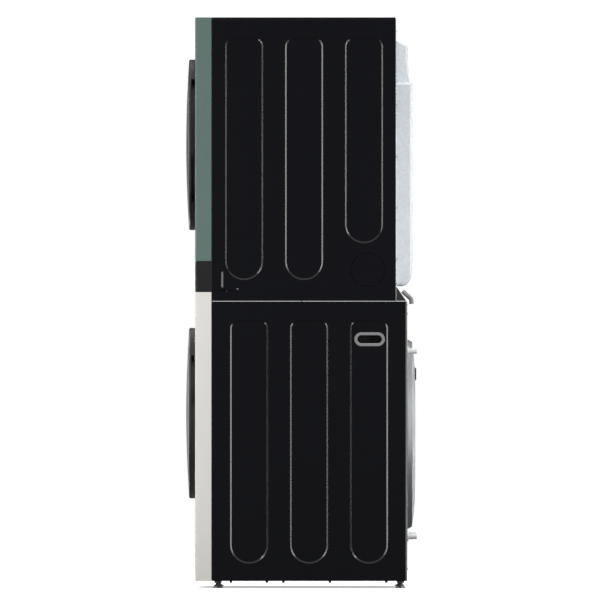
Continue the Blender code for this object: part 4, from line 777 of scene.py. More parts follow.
def louvre_tree():
    """A grid of short raised louvres with a block of painted shade under each for its slot."""
    tree = Pattern(
        "louvres",
        Columns=3,
        Rows=8,
        Pitch_across=0.05,
        Pitch_up=0.012,
        Slot_length=0.036,
        Slot_height=0.004,
    )
    across, up = tree.given("Pitch across"), tree.given("Pitch up")
    columns, rows = tree.given("Columns"), tree.given("Rows")
    size = {"Size X": across * (columns - 1), "Size Y": up * (rows - 1)}
    grid = tree.add("GeometryNodeMeshGrid", None, {**size, "Vertices X": columns, "Vertices Y": rows})
    length, height = tree.given("Slot length"), tree.given("Slot height")
    tube = {"Vertices": 16, "Radius": height * 0.5, "Depth": length}
    hood = tree.add("GeometryNodeMeshCylinder", None, tube)
    hood = tree.add("GeometryNodeTransform", None, {"Geometry": hood, "Rotation": (0, pi / 2, 0)})
    # the slot under each louvre is a block in the painted-shade finish
    size = tree.vector(length * 0.92, height * 0.5, height * 0.7)
    slot = tree.add("GeometryNodeMeshCube", None, {"Size": size})
    slot = tree.moved(slot, tree.vector(0.0, height * -0.45, height * 0.05))
    part = tree.join(tree.painted(hood, "Finish"), tree.painted(slot, "Dark finish"))
    spread = tree.add("GeometryNodeInstanceOnPoints", None, {"Points": grid, "Instance": part})
    return tree.close(spread)


def points_mesh(points):
    mesh = bpy.data.meshes.new("points")
    mesh.from_pydata([tuple(point) for point in points], [], [])
    return mesh


def screws(name, points, direction, body="cabinet", slot="zinc", radius=None, looks=("zinc", "dark")):
    """Pan-head screws at world points, all facing one way."""
    size = radius or bpy.context.scene.tower_sizes.screw_radius
    if "screws" not in bpy.data.node_groups:
        screw_tree()
    return grown(
        name,
        points_mesh(points),
        bpy.data.node_groups["screws"],
        body,
        slot,
        looks,
        Head_radius=size,
        Head_height=size * 0.45,
        Facing=Vector(direction),
    )


# ---- side panels -----------------------------------------------------------------------------
RIB_CORNER = 0.029
RIB_PITCH = 0.1985
WASHER_FIRST_RIB = 0.1245
DRYER_FIRST_RIB = 0.108
WASHER_RIB_SPAN = (0.0575, 0.061)
DRYER_RIB_BOTTOMS = (0.070, 0.070, 0.192)
DRYER_RIB_TOP = 0.067
FLANGE = 0.020
SIDE_EDGE = 0.0012
TOP_EDGE = TOP_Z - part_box("top_panel")[0].z
VENT_RADIUS = 0.056
VENT_SLOT = 0.0013
VENT_PLACE = (DRYER_REAR_Y - 0.0927, SEAM_Z + 0.104)
BRACKET_SCREW = (-0.2100, SEAM_Z + 0.040)
HOLD_LOW, HOLD_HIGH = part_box("hand_hold_right")
HOLD_MIDDLE = (HOLD_LOW + HOLD_HIGH) / 2


def rib(middle, bottom, top, inset):
    """A rib's outline, drawn in by an inset: round below, with rounded corners above."""
    half = bpy.context.scene.tower_sizes.rib_width / 2
    return field(
        middle - half + inset,
        middle + half - inset,
        bottom + inset,
        top - inset,
        half - inset - 0.0004,
        RIB_CORNER - inset,
        24,
        8,
    )


def hold_loop(grow, rim=0.0):
    """The hand-hold's stadium outline; grow is measured from its inner edge."""
    half_width, half_height = 0.0405 + grow, 0.013 + grow
    return field(
        HOLD_MIDDLE.y - half_width,
        HOLD_MIDDLE.y + half_width,
        HOLD_MIDDLE.z - half_height,
        HOLD_MIDDLE.z + half_height,
        half_height - 0.0002 - rim,
        steps=10,
    )


def vent_slots():
    """Six arc slots with tabs between them."""
    loops = []
    for i in range(6):
        start, end = 60 * i + 3.5, 60 * i + 56.5
        outer = arc(*VENT_PLACE, VENT_RADIUS + VENT_SLOT / 2, start, end, 14)
        loops.append(outer + arc(*VENT_PLACE, VENT_RADIUS - VENT_SLOT / 2, end, start, 14))
    return loops


def side_panel(node, side, rear, bottom, top, ribs, hold, vent):
    """One side panel: folded edges, pressed ribs, and what is pierced through it."""
    sizes = bpy.context.scene.tower_sizes
    sheet = Pressing((0, 1, 0), (0, 0, 1), (-side, 0, 0), (side * HALF, 0, 0))
    steps = quarter(SIDE_EDGE) + [(0, FLANGE)]
    fold = [
        (field(SEAM_Y + inset, rear - inset, bottom + inset, top - inset, 0.003, steps=4), depth)
        for inset, depth in steps
    ]
    outer = sheet.feature(fold)[0]
    holes = []
    slope = ramp_profile(sizes.rib_slope, sizes.rib_depth, sizes.rib_angle)
    for number, (middle, low, high) in enumerate(ribs):
        loops = [(rib(middle, low, high, inset), depth) for inset, depth in slope]
        mouth, floor = sheet.feature(loops)
        holes.append(mouth)
        pierced = []
        if hold and number == len(ribs) - 1:
            hole = hold_loop(0.005)
            pierced = [sheet.feature([(hole, sizes.rib_depth), (hole, sizes.rib_depth + 0.004)])[0]]
        sheet.flat(floor, pierced)
    if vent:
        for loop in vent_slots():
            holes.append(sheet.feature([(loop, 0), (loop, 0.002)])[0])
        for loop in (field(-0.2662, -0.2585, SEAM_Z + 0.046, SEAM_Z + 0.098, 0.0015, steps=3),
                     field(-0.2725, -0.2265, SEAM_Z + 0.0345, SEAM_Z + 0.0365, 0.0007, steps=2)):
            holes.append(sheet.feature([(loop, 0), (loop, 0.0015)])[0])
        loop = circle(*BRACKET_SCREW, 0.0050, 24)
        holes.append(sheet.feature([(loop, 0), (loop, 0.0024)])[0])
    sheet.flat(outer, holes)
    return piece(node + "_pressed", sheet.sheet(node, sizes.sheet), "black_paint", node)


def build_side_panels():
    for side, word in ((-1, "left"), (1, "right")):
        ribs = []
        for i in range(3):
            middle = SEAM_Y + WASHER_FIRST_RIB + i * RIB_PITCH
            ribs.append((middle, BASE_Z + WASHER_RIB_SPAN[0], SEAM_Z - WASHER_RIB_SPAN[1]))
        node = f"washer_side_{word}"
        side_panel(node, side, WASHER_REAR_Y, BASE_Z, SEAM_Z - 0.0004, ribs, True, False)
        ribs = []
        for i, low in enumerate(DRYER_RIB_BOTTOMS):
            middle = SEAM_Y + DRYER_FIRST_RIB + i * RIB_PITCH
            ribs.append((middle, SEAM_Z + low, TOP_Z - DRYER_RIB_TOP))
        node = f"dryer_side_{word}"
        low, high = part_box(node)
        side_panel(node, side, DRYER_REAR_Y, low.z + 0.0004, high.z, ribs, False, side > 0)


def build_side_trim():
    """The latch bracket behind the dryer's side panel and its screw."""
    low = Vector((HALF - 0.0040, -0.2690, SEAM_Z + 0.043))
    high = Vector((HALF - 0.0016, -0.2560, SEAM_Z + 0.101))
    shape = bmesh.new()
    bmesh.ops.create_cube(shape, size=1)
    bmesh.ops.scale(shape, vec=high - low, verts=shape.verts)
    bmesh.ops.translate(shape, vec=(low + high) / 2, verts=shape.verts)
    bmesh.ops.rotate(
        shape, cent=(low + high) / 2, matrix=Matrix.Rotation(radians(-14), 3, "Z"), verts=shape.verts
    )
    bmesh.ops.bevel(shape, geom=shape.edges, offset=0.0005, segments=2, profile=0.5, affect="EDGES")
    item = bpy.data.objects.new("side_bracket", to_mesh(shape, "side_bracket"))
    item.data.shade_smooth()
    settle(item, ("zinc",), "cabinet")
    screws("side_bracket_screw", [(HALF - 0.0021, *BRACKET_SCREW)], (1, 0, 0), radius=0.0042)


def build_hand_holds():
    """The plastic bezel and pocket in each washer side; the pocket's deeper faces are painted black as shade, the
    real moulding being grey throughout.
    """
    for side, word in ((-1, "left"), (1, "right")):
        node = f"hand_hold_{word}"
        low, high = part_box(node)
        face = max(abs(low.x), abs(high.x))
        floor = face - min(abs(low.x), abs(high.x))
        cup = Pressing((0, 1, 0), (0, 0, 1), (-side, 0, 0), (side * face, 0, 0))
        rim = 0.0100
        loops = [(hold_loop(rim), 0.0022), (hold_loop(rim), 0.0012)]
        for i in range(1, 7):
            turn = pi / 2 * i / 6
            loops.append((hold_loop(rim - 0.0014 * sin(turn)), 0.0012 * cos(turn)))
        loops.append((hold_loop(0.0022), 0.0000))
        for i in range(1, 7):
            turn = pi / 2 * i / 6
            loops.append((hold_loop(0.0022 - 0.0022 * sin(turn)), 0.0026 * (1 - cos(turn))))
        loops += [(hold_loop(-0.0004), floor * 0.85), (hold_loop(-0.0020), floor - 0.0022)]
        last = cup.feature(loops)[1]
        cup.flat(last)
        mesh = cup.sheet(node, 0.0016)
        # faces more than 3 mm deep in the pocket take black plastic: painted shade for the pocket's dark hollow
        for polygon in mesh.polygons:
            polygon.material_index = int(face - abs(polygon.center.x) > 0.0030)
        piece(node + "_moulding", mesh, ("grey_plastic", "black_plastic"), node, sharp=50)


# ---- front covers ----------------------------------------------------------------------------
GAP = 0.0004
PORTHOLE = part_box("door_gasket")[1].x - 0.0115
DRAWER_LOW, DRAWER_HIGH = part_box("detergent_drawer")
FLAP_LOW, FLAP_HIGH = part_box("filter_flap")
REVEAL = 0.0012
BUTTONS = ("dryer_power_button", "dryer_start_button", "washer_power_button", "washer_start_button")


def rolled(loop_at, radius, depth):
    """Rings that roll a hole's edge inwards; loop_at gives the outline for a growth."""
    loops = [(loop_at(inset), drop) for inset, drop in quarter(radius)]
    return loops + [(loop_at(0.0), depth)]


SEAM_EDGE = 0.0012  # radius along a cover's top and bottom


def front_cover(node, bottom, top, openings, look):
    """A front cover: round upright edges, walls back to the seam, and rolled openings."""
    sizes = bpy.context.scene.tower_sizes
    cover = Pressing((1, 0, 0), (0, 0, 1), (0, 1, 0), (0, FACE_Y, 0))
    depth = SEAM_Y - FACE_Y - GAP
    fold = []
    for (side, drop), (edge, _) in zip(quarter(sizes.edge_radius, 8), quarter(SEAM_EDGE, 8)):
        fold.append((field(-HALF + side, HALF - side, bottom + edge, top - edge, 0.0009, steps=3), drop))
    fold.append((field(-HALF, HALF, bottom, top, 0.0009, steps=3), depth - 0.0015))
    fold.append((field(-HALF + 0.0008, HALF - 0.0008, bottom + 0.0006, top - 0.0006, 0.0009, steps=3), depth))
    fold.append((field(-HALF + 0.012, HALF - 0.012, bottom + 0.010, top - 0.010, 0.0009, steps=3), depth))
    outer = cover.feature(fold)[0]
    holes = [cover.feature(loops)[0] for loops in openings]
    cover.flat(outer, holes)
    return piece(node + "_pressed", cover.sheet(node, sizes.sheet), look, node)


def round_opening(x, z, radius, roll, depth, steps=96):
    return rolled(lambda grow: circle(x, z, radius + grow, steps), roll, depth)


def square_opening(low, high, roll=0.0008, depth=0.006):
    return rolled(
        lambda grow: field(
            low.x - REVEAL - grow, high.x + REVEAL + grow, low.z - REVEAL - grow, high.z + REVEAL + grow,
            0.002 + grow, steps=4,
        ),
        roll,
        depth,
    )


def latch_slot(z):
    """The door latch's slot on the handle side."""
    low, high = Vector((0.2385, 0, z - 0.014)), Vector((0.2475, 0, z + 0.014))
    return square_opening(low, high, 0.0010, 0.004)


def build_front_covers():
    band_low, band_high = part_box("control_panel")
    openings = [
        round_opening(0, WASHER_DOOR_Z, PORTHOLE, 0.004, 0.012),
        square_opening(DRAWER_LOW, DRAWER_HIGH),
        square_opening(FLAP_LOW, FLAP_HIGH),
        latch_slot(WASHER_DOOR_Z),
    ]
    front_cover("washer_front_panel", BASE_Z, band_low.z - GAP, openings, "beige_paint")
    openings = [round_opening(0, DRYER_DOOR_Z, PORTHOLE, 0.004, 0.012), latch_slot(DRYER_DOOR_Z)]
    front_cover("dryer_front_panel", band_high.z + GAP, TOP_Z, openings, "green_paint")
    openings = []
    for name in BUTTONS:
        low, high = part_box(name)
        middle = (low + high) / 2
        radius = (high.x - low.x + REVEAL) / 2
        openings.append(round_opening(middle.x, middle.z, radius, 0.0006, 0.004, 48))
    front_cover("control_panel", band_low.z, band_high.z, openings, "band_plastic")


LID_MARGIN = 0.04
LID_CORNER = 0.03


def build_top_panel():
    low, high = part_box("top_panel")
    lid = Pressing((1, 0, 0), (0, 1, 0), (0, 0, -1), (0, 0, TOP_Z))
    fold = [
        (field(low.x + inset, high.x - inset, low.y + inset, high.y - inset, 0.003, steps=4), depth)
        for inset, depth in quarter(0.0022) + [(0, TOP_EDGE)]
    ]
    outer = lid.feature(fold)[0]
    raised = ramp_profile(0.004, 0.0012, radians(26))
    loops = []
    for inset, depth in raised:
        edge = LID_MARGIN + inset
        outline = (low.x + edge, high.x - edge, low.y + edge, high.y - edge, LID_CORNER - inset)
        loops.append((field(*outline, steps=8), depth))
    mouth, floor = lid.feature(loops)
    lid.flat(outer, [mouth])
    lid.flat(floor)
    mesh = lid.sheet("top_panel", bpy.context.scene.tower_sizes.sheet)
    piece("top_panel_pressed", mesh, "black_paint", "top_panel")


# ---- doors -----------------------------------------------------------------------------------
DOOR_RIM = 0.0195
DOOR_CROWN = DOOR_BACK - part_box("washer_door_window")[0].y
DOOR_SOFT = 0.006
HINGE_LENGTH = 0.110
HINGE_KNUCKLE = 0.033
HINGE_PIN_RADIUS = 0.0045
HINGE_LEAF = 0.016  # leaf over the door's edge
LENS_WALL = 0.0048
BOWL_WALL = 0.004
BOWL_FULLNESS = 0.55  # below 1 the bowl's wall stays steep for longer
TRIM_WIDTH = 0.026
HOOK_HALF_HEIGHT = 0.011
POCKET_LIP = 0.0075
POCKET_REACH = 0.024
DOOR_POCKETS = {"washer_door": ((6.5, 43.0),), "dryer_door": ((14.0, 50.0), (-43.0, -8.0))}


def dome(radius):
    """Height of the doors' spherical front above their rear plane."""
    return DOOR_CROWN - (DOOR_CROWN - DOOR_RIM) * (radius / DOOR_RADIUS) ** 2


def door_ring_profile():
    """The door ring from its inner rim, round the front and the outer edge, to the back."""
    inner = WINDOW_RADIUS + 0.0010
    edge, soft = DOOR_RADIUS, DOOR_SOFT
    front = [(inner, dome(inner) - 0.0010), (inner + 0.0010, dome(inner + 0.001))]
    steps = 14
    for i in range(1, steps + 1):
        radius = inner + 0.001 + (edge - soft - inner - 0.001) * i / steps
        front.append((radius, dome(radius)))
    centre = (edge - soft, dome(edge - soft) - soft)
    corner = []
    for turn in (radians(degrees) for degrees in range(10, 91, 10)):
        corner.append((centre[0] + soft * sin(turn), centre[1] + soft * cos(turn)))
    groove = 0.0070
    side = [
        (edge, groove + 0.0005),
        (edge - 0.0006, groove + 0.0002),
        (edge - 0.0006, groove - 0.0002),
        (edge, groove - 0.0005),
        (edge, 0.0012),
        (edge - 0.0012, 0.0),
    ]
    back = [(inner + 0.0008, 0.0), (inner, 0.0008)]
    return front + corner + side + back


def pocket_cutter(name, centre_z, start, end):
    """The space of a finger pocket in a door's edge, with rounded ends."""
    outline = arc(0, centre_z, DOOR_RADIUS + 0.02, start, end, 24)
    outline += arc(0, centre_z, DOOR_RADIUS - POCKET_REACH, end, start, 24)
    cut = Pressing((1, 0, 0), (0, 0, 1), (0, 1, 0), (0, 0, 0))
    front, rear = DOOR_BACK - DOOR_RIM + POCKET_LIP, DOOR_BACK + 0.01
    near, far = cut.feature([(outline, front), (outline, rear)])
    cut.flat(near)
    cut.flat(far)
    bmesh.ops.recalc_face_normals(cut.shape, faces=cut.shape.faces)
    return loose(name, to_mesh(cut.shape, name))


def door_ring(node, centre_z):
    """A door's dark ring with its finger pockets."""
    frame_at = facing(FORWARD, (0, DOOR_BACK, centre_z))
    item = loose(node + "_draft", lathe(node, door_ring_profile(), 144, frame_at, closed=True))
    cutters = []
    for number, (start, end) in enumerate(DOOR_POCKETS[node]):
        cutter = pocket_cutter(f"{node}_pocket_{number}", centre_z, start, end)
        hollow = item.modifiers.new("pocket", "BOOLEAN")
        hollow.operation = "DIFFERENCE"
        hollow.object = cutter
        cutters.append(cutter)
    edge = item.modifiers.new("edge", "BEVEL")
    edge.width = 0.0007
    edge.segments = 2
    edge.limit_method = "ANGLE"
    edge.angle_limit = radians(50)
    mesh = baked(item)
    for cutter in cutters:
        bpy.data.objects.remove(cutter)
    mesh.materials.clear()
    piece(node + "_ring", mesh, "door_plastic", node, sharp=32)


def hinge_leaves(node, centre_z):
    """The moving knuckles and leaves on a door."""
    third, radius = HINGE_KNUCKLE, HINGE_PIN_RADIUS
    parts = []
    for low in (centre_z - HINGE_LENGTH / 2, centre_z + HINGE_LENGTH / 2 - third):
        profile = rounded_profile([(0, 0), (radius, 0), (radius, third), (0, third)], 0.0006)
        parts.append(lathe("knuckle", profile, 32, facing((0, 0, 1), (HINGE_X, HINGE_Y, low))))
        leaf = bmesh.new()
        bmesh.ops.create_cube(leaf, size=1)
        near = Vector((HINGE_X, HINGE_Y - 0.0036, low))
        far = Vector((-DOOR_RADIUS + HINGE_LEAF, HINGE_Y + 0.0018, low + third))
        bmesh.ops.scale(leaf, vec=far - near, verts=leaf.verts)
        bmesh.ops.translate(leaf, vec=(near + far) / 2, verts=leaf.verts)
        bmesh.ops.bevel(leaf, geom=leaf.edges, offset=0.0006, segments=2, profile=0.5, affect="EDGES")
        parts.append(to_mesh(leaf, "leaf"))
    shape = bmesh.new()
    for part in parts:
        shape.from_mesh(part)
    mesh = to_mesh(shape, node + "_hinge_leaves")
    piece(node + "_hinge_leaves", mesh, "door_plastic", node, replace=False)


def window(node, centre_z):
    """The domed smoked window, flush with the ring."""
    edge = WINDOW_RADIUS - 0.0002
    front = [(edge * i / 16, dome(edge * i / 16)) for i in range(16)]
    front += [(edge - 0.0006, dome(edge)), (edge, dome(edge) - 0.0006)]
    back = [(edge * i / 8, dome(edge * i / 8) - LENS_WALL) for i in range(8, -1, -1)]
    frame_at = facing(FORWARD, (0, DOOR_BACK, centre_z))
    piece(node + "_lens", lathe(node, front + back, 96, frame_at), "smoked_glass", node, sharp=40)


def bowl(node, centre_z):
    """The blown glass bowl behind the ring."""
    low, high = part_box(node)
    rim, wall = high.x, BOWL_WALL
    depth, mouth = high.y - DOOR_BACK, DOOR_BACK - low.y
    outer = [(rim, mouth), (rim, 0.0)]
    for i in range(1, 19):
        turn = pi / 2 * i / 18
        outer.append((rim * cos(turn) ** BOWL_FULLNESS if i < 18 else 0.0, -depth * sin(turn)))
    inner = [(max(r - wall, 0.0), h + wall) for r, h in reversed(outer[1:])]
    inner.append((rim - wall, mouth))
    frame_at = facing(FORWARD, (0, DOOR_BACK, centre_z))
    mesh = lathe(node, outer + inner, 96, frame_at, closed=True)
    piece(node + "_blown", mesh, "smoked_glass", node, sharp=50)


def door_back(node, centre_z):
    """The trim ring that holds the bowl, its screws, and the latch hook."""
    inner = WINDOW_RADIUS + 0.0015
    points = [(inner, -0.0003), (inner, -0.0055), (inner + 0.020, -0.0040), (inner + TRIM_WIDTH, -0.0003)]
    frame_at = facing(FORWARD, (0, DOOR_BACK, centre_z))
    ring = lathe("trim", rounded_profile(points, 0.0012), 96, frame_at, closed=True)
    piece(node + "_trim_ring", ring, "grey_plastic", node, replace=False)
    spots = []
    for i in range(8):
        turn = radians(22.5 + 45 * i)
        reach = inner + 0.012
        spots.append((reach * cos(turn), DOOR_BACK + 0.0046, centre_z + reach * sin(turn)))
    screws(node + "_trim_screws", spots, REARWARD, node, SLOT_OF[node])
    hook = Pressing((1, 0, 0), (0, 0, 1), (0, 1, 0), (0, DOOR_BACK, 0))
    outline = field(0.2400, 0.2460, centre_z - HOOK_HALF_HEIGHT, centre_z + HOOK_HALF_HEIGHT, 0.002, steps=3)
    tip = field(0.2410, 0.2450, centre_z - 0.009, centre_z + 0.009, 0.0015, steps=3)
    last = hook.feature([(outline, -0.001), (outline, 0.010), (tip, 0.0115)])
    hook.flat(last[0])
    hook.flat(last[1])
    piece(node + "_latch_hook", hook.sheet("hook", 0), "zinc", node, replace=False)


def build_doors():
    for node, centre_z in (("washer_door", WASHER_DOOR_Z), ("dryer_door", DRYER_DOOR_Z)):
        door_ring(node, centre_z)
        hinge_leaves(node, centre_z)
        window(node + "_window", centre_z)
        bowl(node + "_glass", centre_z)
        door_back(node, centre_z)


def build_hinges():
    """The fixed hinge halves and their screws."""
    for node in ("washer_hinge", "dryer_hinge"):
        softened(node, "zinc", 0.0004)
        low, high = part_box(node)
        x, y = low.x + 0.008, FACE_Y - 0.0028
        screws(node + "_screws", [(x, y, low.z + 0.010), (x, y, high.z - 0.010)], FORWARD, radius=0.0036)


# ---- controls --------------------------------------------------------------------------------
DISPLAY_HALF_WIDTH = 0.150
DISPLAY_HALF_HEIGHT = 0.030
LAMP_ROWS = (-0.0235, 0.0235)
LAMP_COLUMNS = (-0.205, -0.190, 0.190, 0.205)


def build_controls():
    """Push buttons with a dished top, and the flush display between them."""
    for name in BUTTONS:
        low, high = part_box(name)
        middle = (low + high) / 2
        radius, length = (high.x - low.x) / 2, high.y - low.y
        points = [(0, length - 0.0007), (radius * 0.6, length - 0.0006), (radius * 0.82, length)]
        points += [(radius, length), (radius, 0), (0, 0)]
        frame_at = facing(FORWARD, (middle.x, high.y, middle.z))
        piece(name + "_cap", lathe(name, rounded_profile(points, 0.0008), 48, frame_at), "door_plastic", name)
    low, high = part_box("control_panel")
    middle_z = (low.z + high.z) / 2
    glass = Pressing((1, 0, 0), (0, 0, 1), (0, 1, 0), (0, FACE_Y - 0.0004, 0))
    loops = []
    for inset, depth in quarter(0.0005, 3):
        half, tall = DISPLAY_HALF_WIDTH - inset, DISPLAY_HALF_HEIGHT - inset
        loops.append((field(-half, half, middle_z - tall, middle_z + tall, 0.008 - inset, steps=8), depth))
    face, rear = glass.feature(loops + [(loops[-1][0], 0.0011)])
    glass.flat(face)
    glass.flat(rear)
    piece("display_glass", glass.sheet("display", 0), "smoked_glass", "control_panel", replace=False)
    lamps = [(x, FACE_Y, middle_z + row) for row in LAMP_ROWS for x in LAMP_COLUMNS]
    looks = ("white_plastic", "white_plastic")
    screws("indicator_lamps", lamps, FORWARD, slot="white_plastic", radius=0.0016, looks=looks)


# ---- rear side -------------------------------------------------------------------------------
ACCESS_Z = (ACCESS_LOW.z + ACCESS_HIGH.z) / 2
ACCESS_RADIUS = ACCESS_HIGH.x
ACCESS_STEP = 0.0176
PLATE_WALL = 0.0012
PAD_SPAN = (0.235, 0.295)
PAD_HALF_HEIGHT = 0.035
PAD_FROM_END = 0.075
PLATE_SCREW_MARGIN = 0.012
ACCESS_WINDOW_LIP = 0.022
CLIP_SPAN = (0.173, 0.226)  # above the middle of the access cover


def build_washer_rear():
    """The galvanised washer back with its round window, pressed rings and screws."""
    back = Pressing((1, 0, 0), (0, 0, 1), (0, -1, 0), (0, PLATE_HIGH.y, 0))
    low, high = PLATE_LOW, PLATE_HIGH
    fold = [
        (field(low.x + inset, high.x - inset, low.z + inset, high.z - inset, 0.004, steps=4), depth)
        for inset, depth in quarter(0.0018) + [(0, high.y - low.y)]
    ]
    outer = back.feature(fold)[0]
    port = round_opening(0, ACCESS_Z, ACCESS_RADIUS - ACCESS_WINDOW_LIP, 0.001, 0.003, 128)
    holes = [back.feature(port)[0]]
    for side in (-1, 1):
        left, right = sorted(side * edge for edge in PAD_SPAN)
        for z in (PLATE_LOW.z + PAD_FROM_END, PLATE_HIGH.z - PAD_FROM_END):
            loops = []
            for inset, depth in ramp_profile(0.004, 0.0015, radians(30)):
                tall = PAD_HALF_HEIGHT - inset
                outline = field(left + inset, right - inset, z - tall, z + tall, 0.012 - inset, steps=6)
                loops.append((outline, depth))
            mouth, floor = back.feature(loops)
            holes.append(mouth)
            back.flat(floor)
    back.flat(outer, holes)
    mesh = back.sheet("washer_rear_panel", PLATE_WALL)
    # the washer back takes the darker copy of the galvanised finish: painted shade
    piece("washer_rear_pressed", mesh, "aluminised", "washer_rear_panel")
    spots = []
    for x in (low.x + PLATE_SCREW_MARGIN, high.x - PLATE_SCREW_MARGIN):
        for i in range(5):
            spots.append((x, high.y, low.z + 0.04 + i * (high.z - low.z - 0.08) / 4))
    for x in (-0.2, 0.0, 0.2):
        spots.append((x, high.y, high.z - PLATE_SCREW_MARGIN))
    screws("washer_rear_screws", spots, REARWARD)


def build_access_cover():
    """The round stepped cover: rolled edge, steep step, and pressed rings on its shallow dome."""
    edge, base = ACCESS_RADIUS, ACCESS_LOW.y
    crown = ACCESS_HIGH.y - base
    points = [
        (edge, 0.0),
        (edge, 0.0012),
        (edge - 0.003, 0.0014),
        (edge - 0.011, ACCESS_STEP - 0.001),
        (edge - 0.020, ACCESS_STEP + 0.0004),
        (edge * 0.91, ACCESS_STEP + 0.0010),
        (edge * 0.81, crown - 0.0049),
        (edge * 0.79, crown - 0.0052),
        (edge * 0.77, crown - 0.0044),
        (edge * 0.70, crown - 0.0023),
        (edge * 0.50, crown - 0.0007),
        (0.0, crown - 0.0002),
    ]
    outer = rounded_profile(points, 0.004)
    frame_at = facing(REARWARD, (0, base, ACCESS_Z))
    item = loose("access_draft", lathe("access", outer, 144, frame_at))
    wall = item.modifiers.new("wall", "SOLIDIFY")
    wall.thickness = 0.0009
    wall.offset = -1
    # the access cover takes the darker copy of the galvanised finish: painted shade
    piece("rear_access_pressed", baked(item), "aluminised", "rear_access_cover", sharp=50)
    spots = []
    for i in range(8):
        turn = radians(22.5 + 45 * i)
        reach = edge - 0.030
        spots.append((reach * cos(turn), base + ACCESS_STEP + 0.0008, ACCESS_Z + reach * sin(turn)))
    screws("rear_access_screws", spots, REARWARD)
    near, far = ACCESS_HIGH.y - 0.005, CAD_BOX[1].y - 0.0006
    low, high = ACCESS_Z + CLIP_SPAN[0], ACCESS_Z + CLIP_SPAN[1]
    clip = [(near, low), (far, low + 0.009), (far, high - 0.008), (near - 0.001, high)]
    mesh = bar_mesh("clip", clip, -0.012, 0.012, 0.0008)
    piece("rear_access_clip", mesh, "black_plastic", "rear_access_cover", replace=False)


def bar_mesh(name, outline, low, high, edge):
    """A closed bar along X whose side view is an outline of (y, z), with its edges rounded."""
    bar = Pressing((0, 1, 0), (0, 0, 1), (1, 0, 0))
    near, far = bar.feature([(outline, low), (outline, high)])
    bar.flat(near)
    bar.flat(far)
    shape = bar.shape
    bmesh.ops.dissolve_limit(shape, angle_limit=radians(0.5), verts=shape.verts, edges=shape.edges)
    bmesh.ops.recalc_face_normals(shape, faces=shape.faces)
    item = loose(name, to_mesh(shape, name))
    bevel = item.modifiers.new("edge", "BEVEL")
    bevel.width = edge
    bevel.segments = 5
    bevel.limit_method = "ANGLE"
    bevel.angle_limit = radians(15)
    return baked(item)


DUCT_EDGE = 0.009
DUCT_FLANGE = 0.010
DUCT_SWEEP = (0.036, 0.054)
DUCT_CORNER = 0.010
DUCT_SEAM = 0.316  # above the cover's foot
DUCT_MARGIN = 0.035
NECK_DEPTH = 0.0370
NECK_FACE = (0.068, 0.122)  # above the shoulder
EMBOSS_SPAN = (0.071, 0.119)  # above the shoulder
EMBOSS_HEIGHT = 0.0022
NECK_HALF = 0.125
SHOULDER_Z = TOP_Z - 0.214


def swept_inset(depth, across, along):
    """How far an elliptic edge has drawn in at a depth below the face."""
    share = max(1 - depth / across, 0.0)
    return along * (1 - (1 - share * share) ** 0.5)


def build_duct_cover():
    """The cover over the heater duct: a deep body with a swept foot, a shoulder and a narrow neck."""
    back, rear = DUCT_LOW.y, DUCT_HIGH.y
    reach = rear - back
    body = Pressing((1, 0, 0), (0, 0, 1), (0, -1, 0), (0, rear, 0))

    def loop(depth, grow=0.0):
        side = swept_inset(depth, DUCT_EDGE, DUCT_EDGE) - grow
        foot = swept_inset(depth, *DUCT_SWEEP)
        left, right = DUCT_LOW.x + side, DUCT_HIGH.x - side
        return field(left, right, DUCT_LOW.z + foot, SHOULDER_Z - side, DUCT_CORNER, steps=6)

    depths = [DUCT_SWEEP[0] * (1 - sin(pi / 2 * (1 - i / 16) ** 1.5)) for i in range(17)]
    loops = [(loop(depth), depth) for depth in depths]
    loops += [(loop(reach - 0.002), reach - 0.002), (loop(reach, 0.002), reach)]
    loops.append((loop(reach, DUCT_FLANGE), reach))
    outer = body.feature(loops)[0]
    seam = DUCT_LOW.z + DUCT_SEAM
    slope = ramp_profile(0.005, 0.0015, radians(26))
    holes = []
    for low, high in ((DUCT_LOW.z + 0.10, seam - 0.012), (seam + 0.012, SHOULDER_Z - 0.045)):
        panel = []
        for inset, depth in slope:
            left, right = DUCT_LOW.x + DUCT_MARGIN + inset, DUCT_HIGH.x - DUCT_MARGIN - inset
            panel.append((field(left, right, low + inset, high - inset, 0.02 - inset, steps=8), depth))
        mouth, floor = body.feature(panel)
        holes.append(mouth)
        body.flat(floor)
    body.flat(outer, holes)
    piece("rear_duct_pressed", body.sheet("rear_duct", 0.001), "galvanised", "rear_duct_cover", sharp=40)
    neck_rear = back + NECK_DEPTH
    hidden = rear - 0.0045
    outline = [(back, SHOULDER_Z - 0.03), (hidden, SHOULDER_Z - 0.03), (hidden, SHOULDER_Z - 0.004)]
    outline += [(neck_rear, SHOULDER_Z + height) for height in NECK_FACE]
    outline.append((back, DUCT_HIGH.z))
    neck = bar_mesh("duct_neck", outline, -NECK_HALF, NECK_HALF, 0.006)
    piece("rear_duct_neck", neck, "galvanised", "rear_duct_cover", replace=False, sharp=40)
    for side in (-1, 1):
        low, high = SHOULDER_Z + EMBOSS_SPAN[0], SHOULDER_Z + EMBOSS_SPAN[1]
        root, crest = neck_rear - 0.002, neck_rear + EMBOSS_HEIGHT
        rib = [(root, low), (crest, low + 0.003), (crest, high - 0.003), (root, high)]
        middle = side * (NECK_HALF - 0.022)
        emboss = bar_mesh("emboss", rib, middle - 0.007, middle + 0.007, 0.0012)
        word = "left" if side < 0 else "right"
        piece(f"rear_duct_emboss_{word}", emboss, "galvanised", "rear_duct_cover", replace=False, sharp=40)


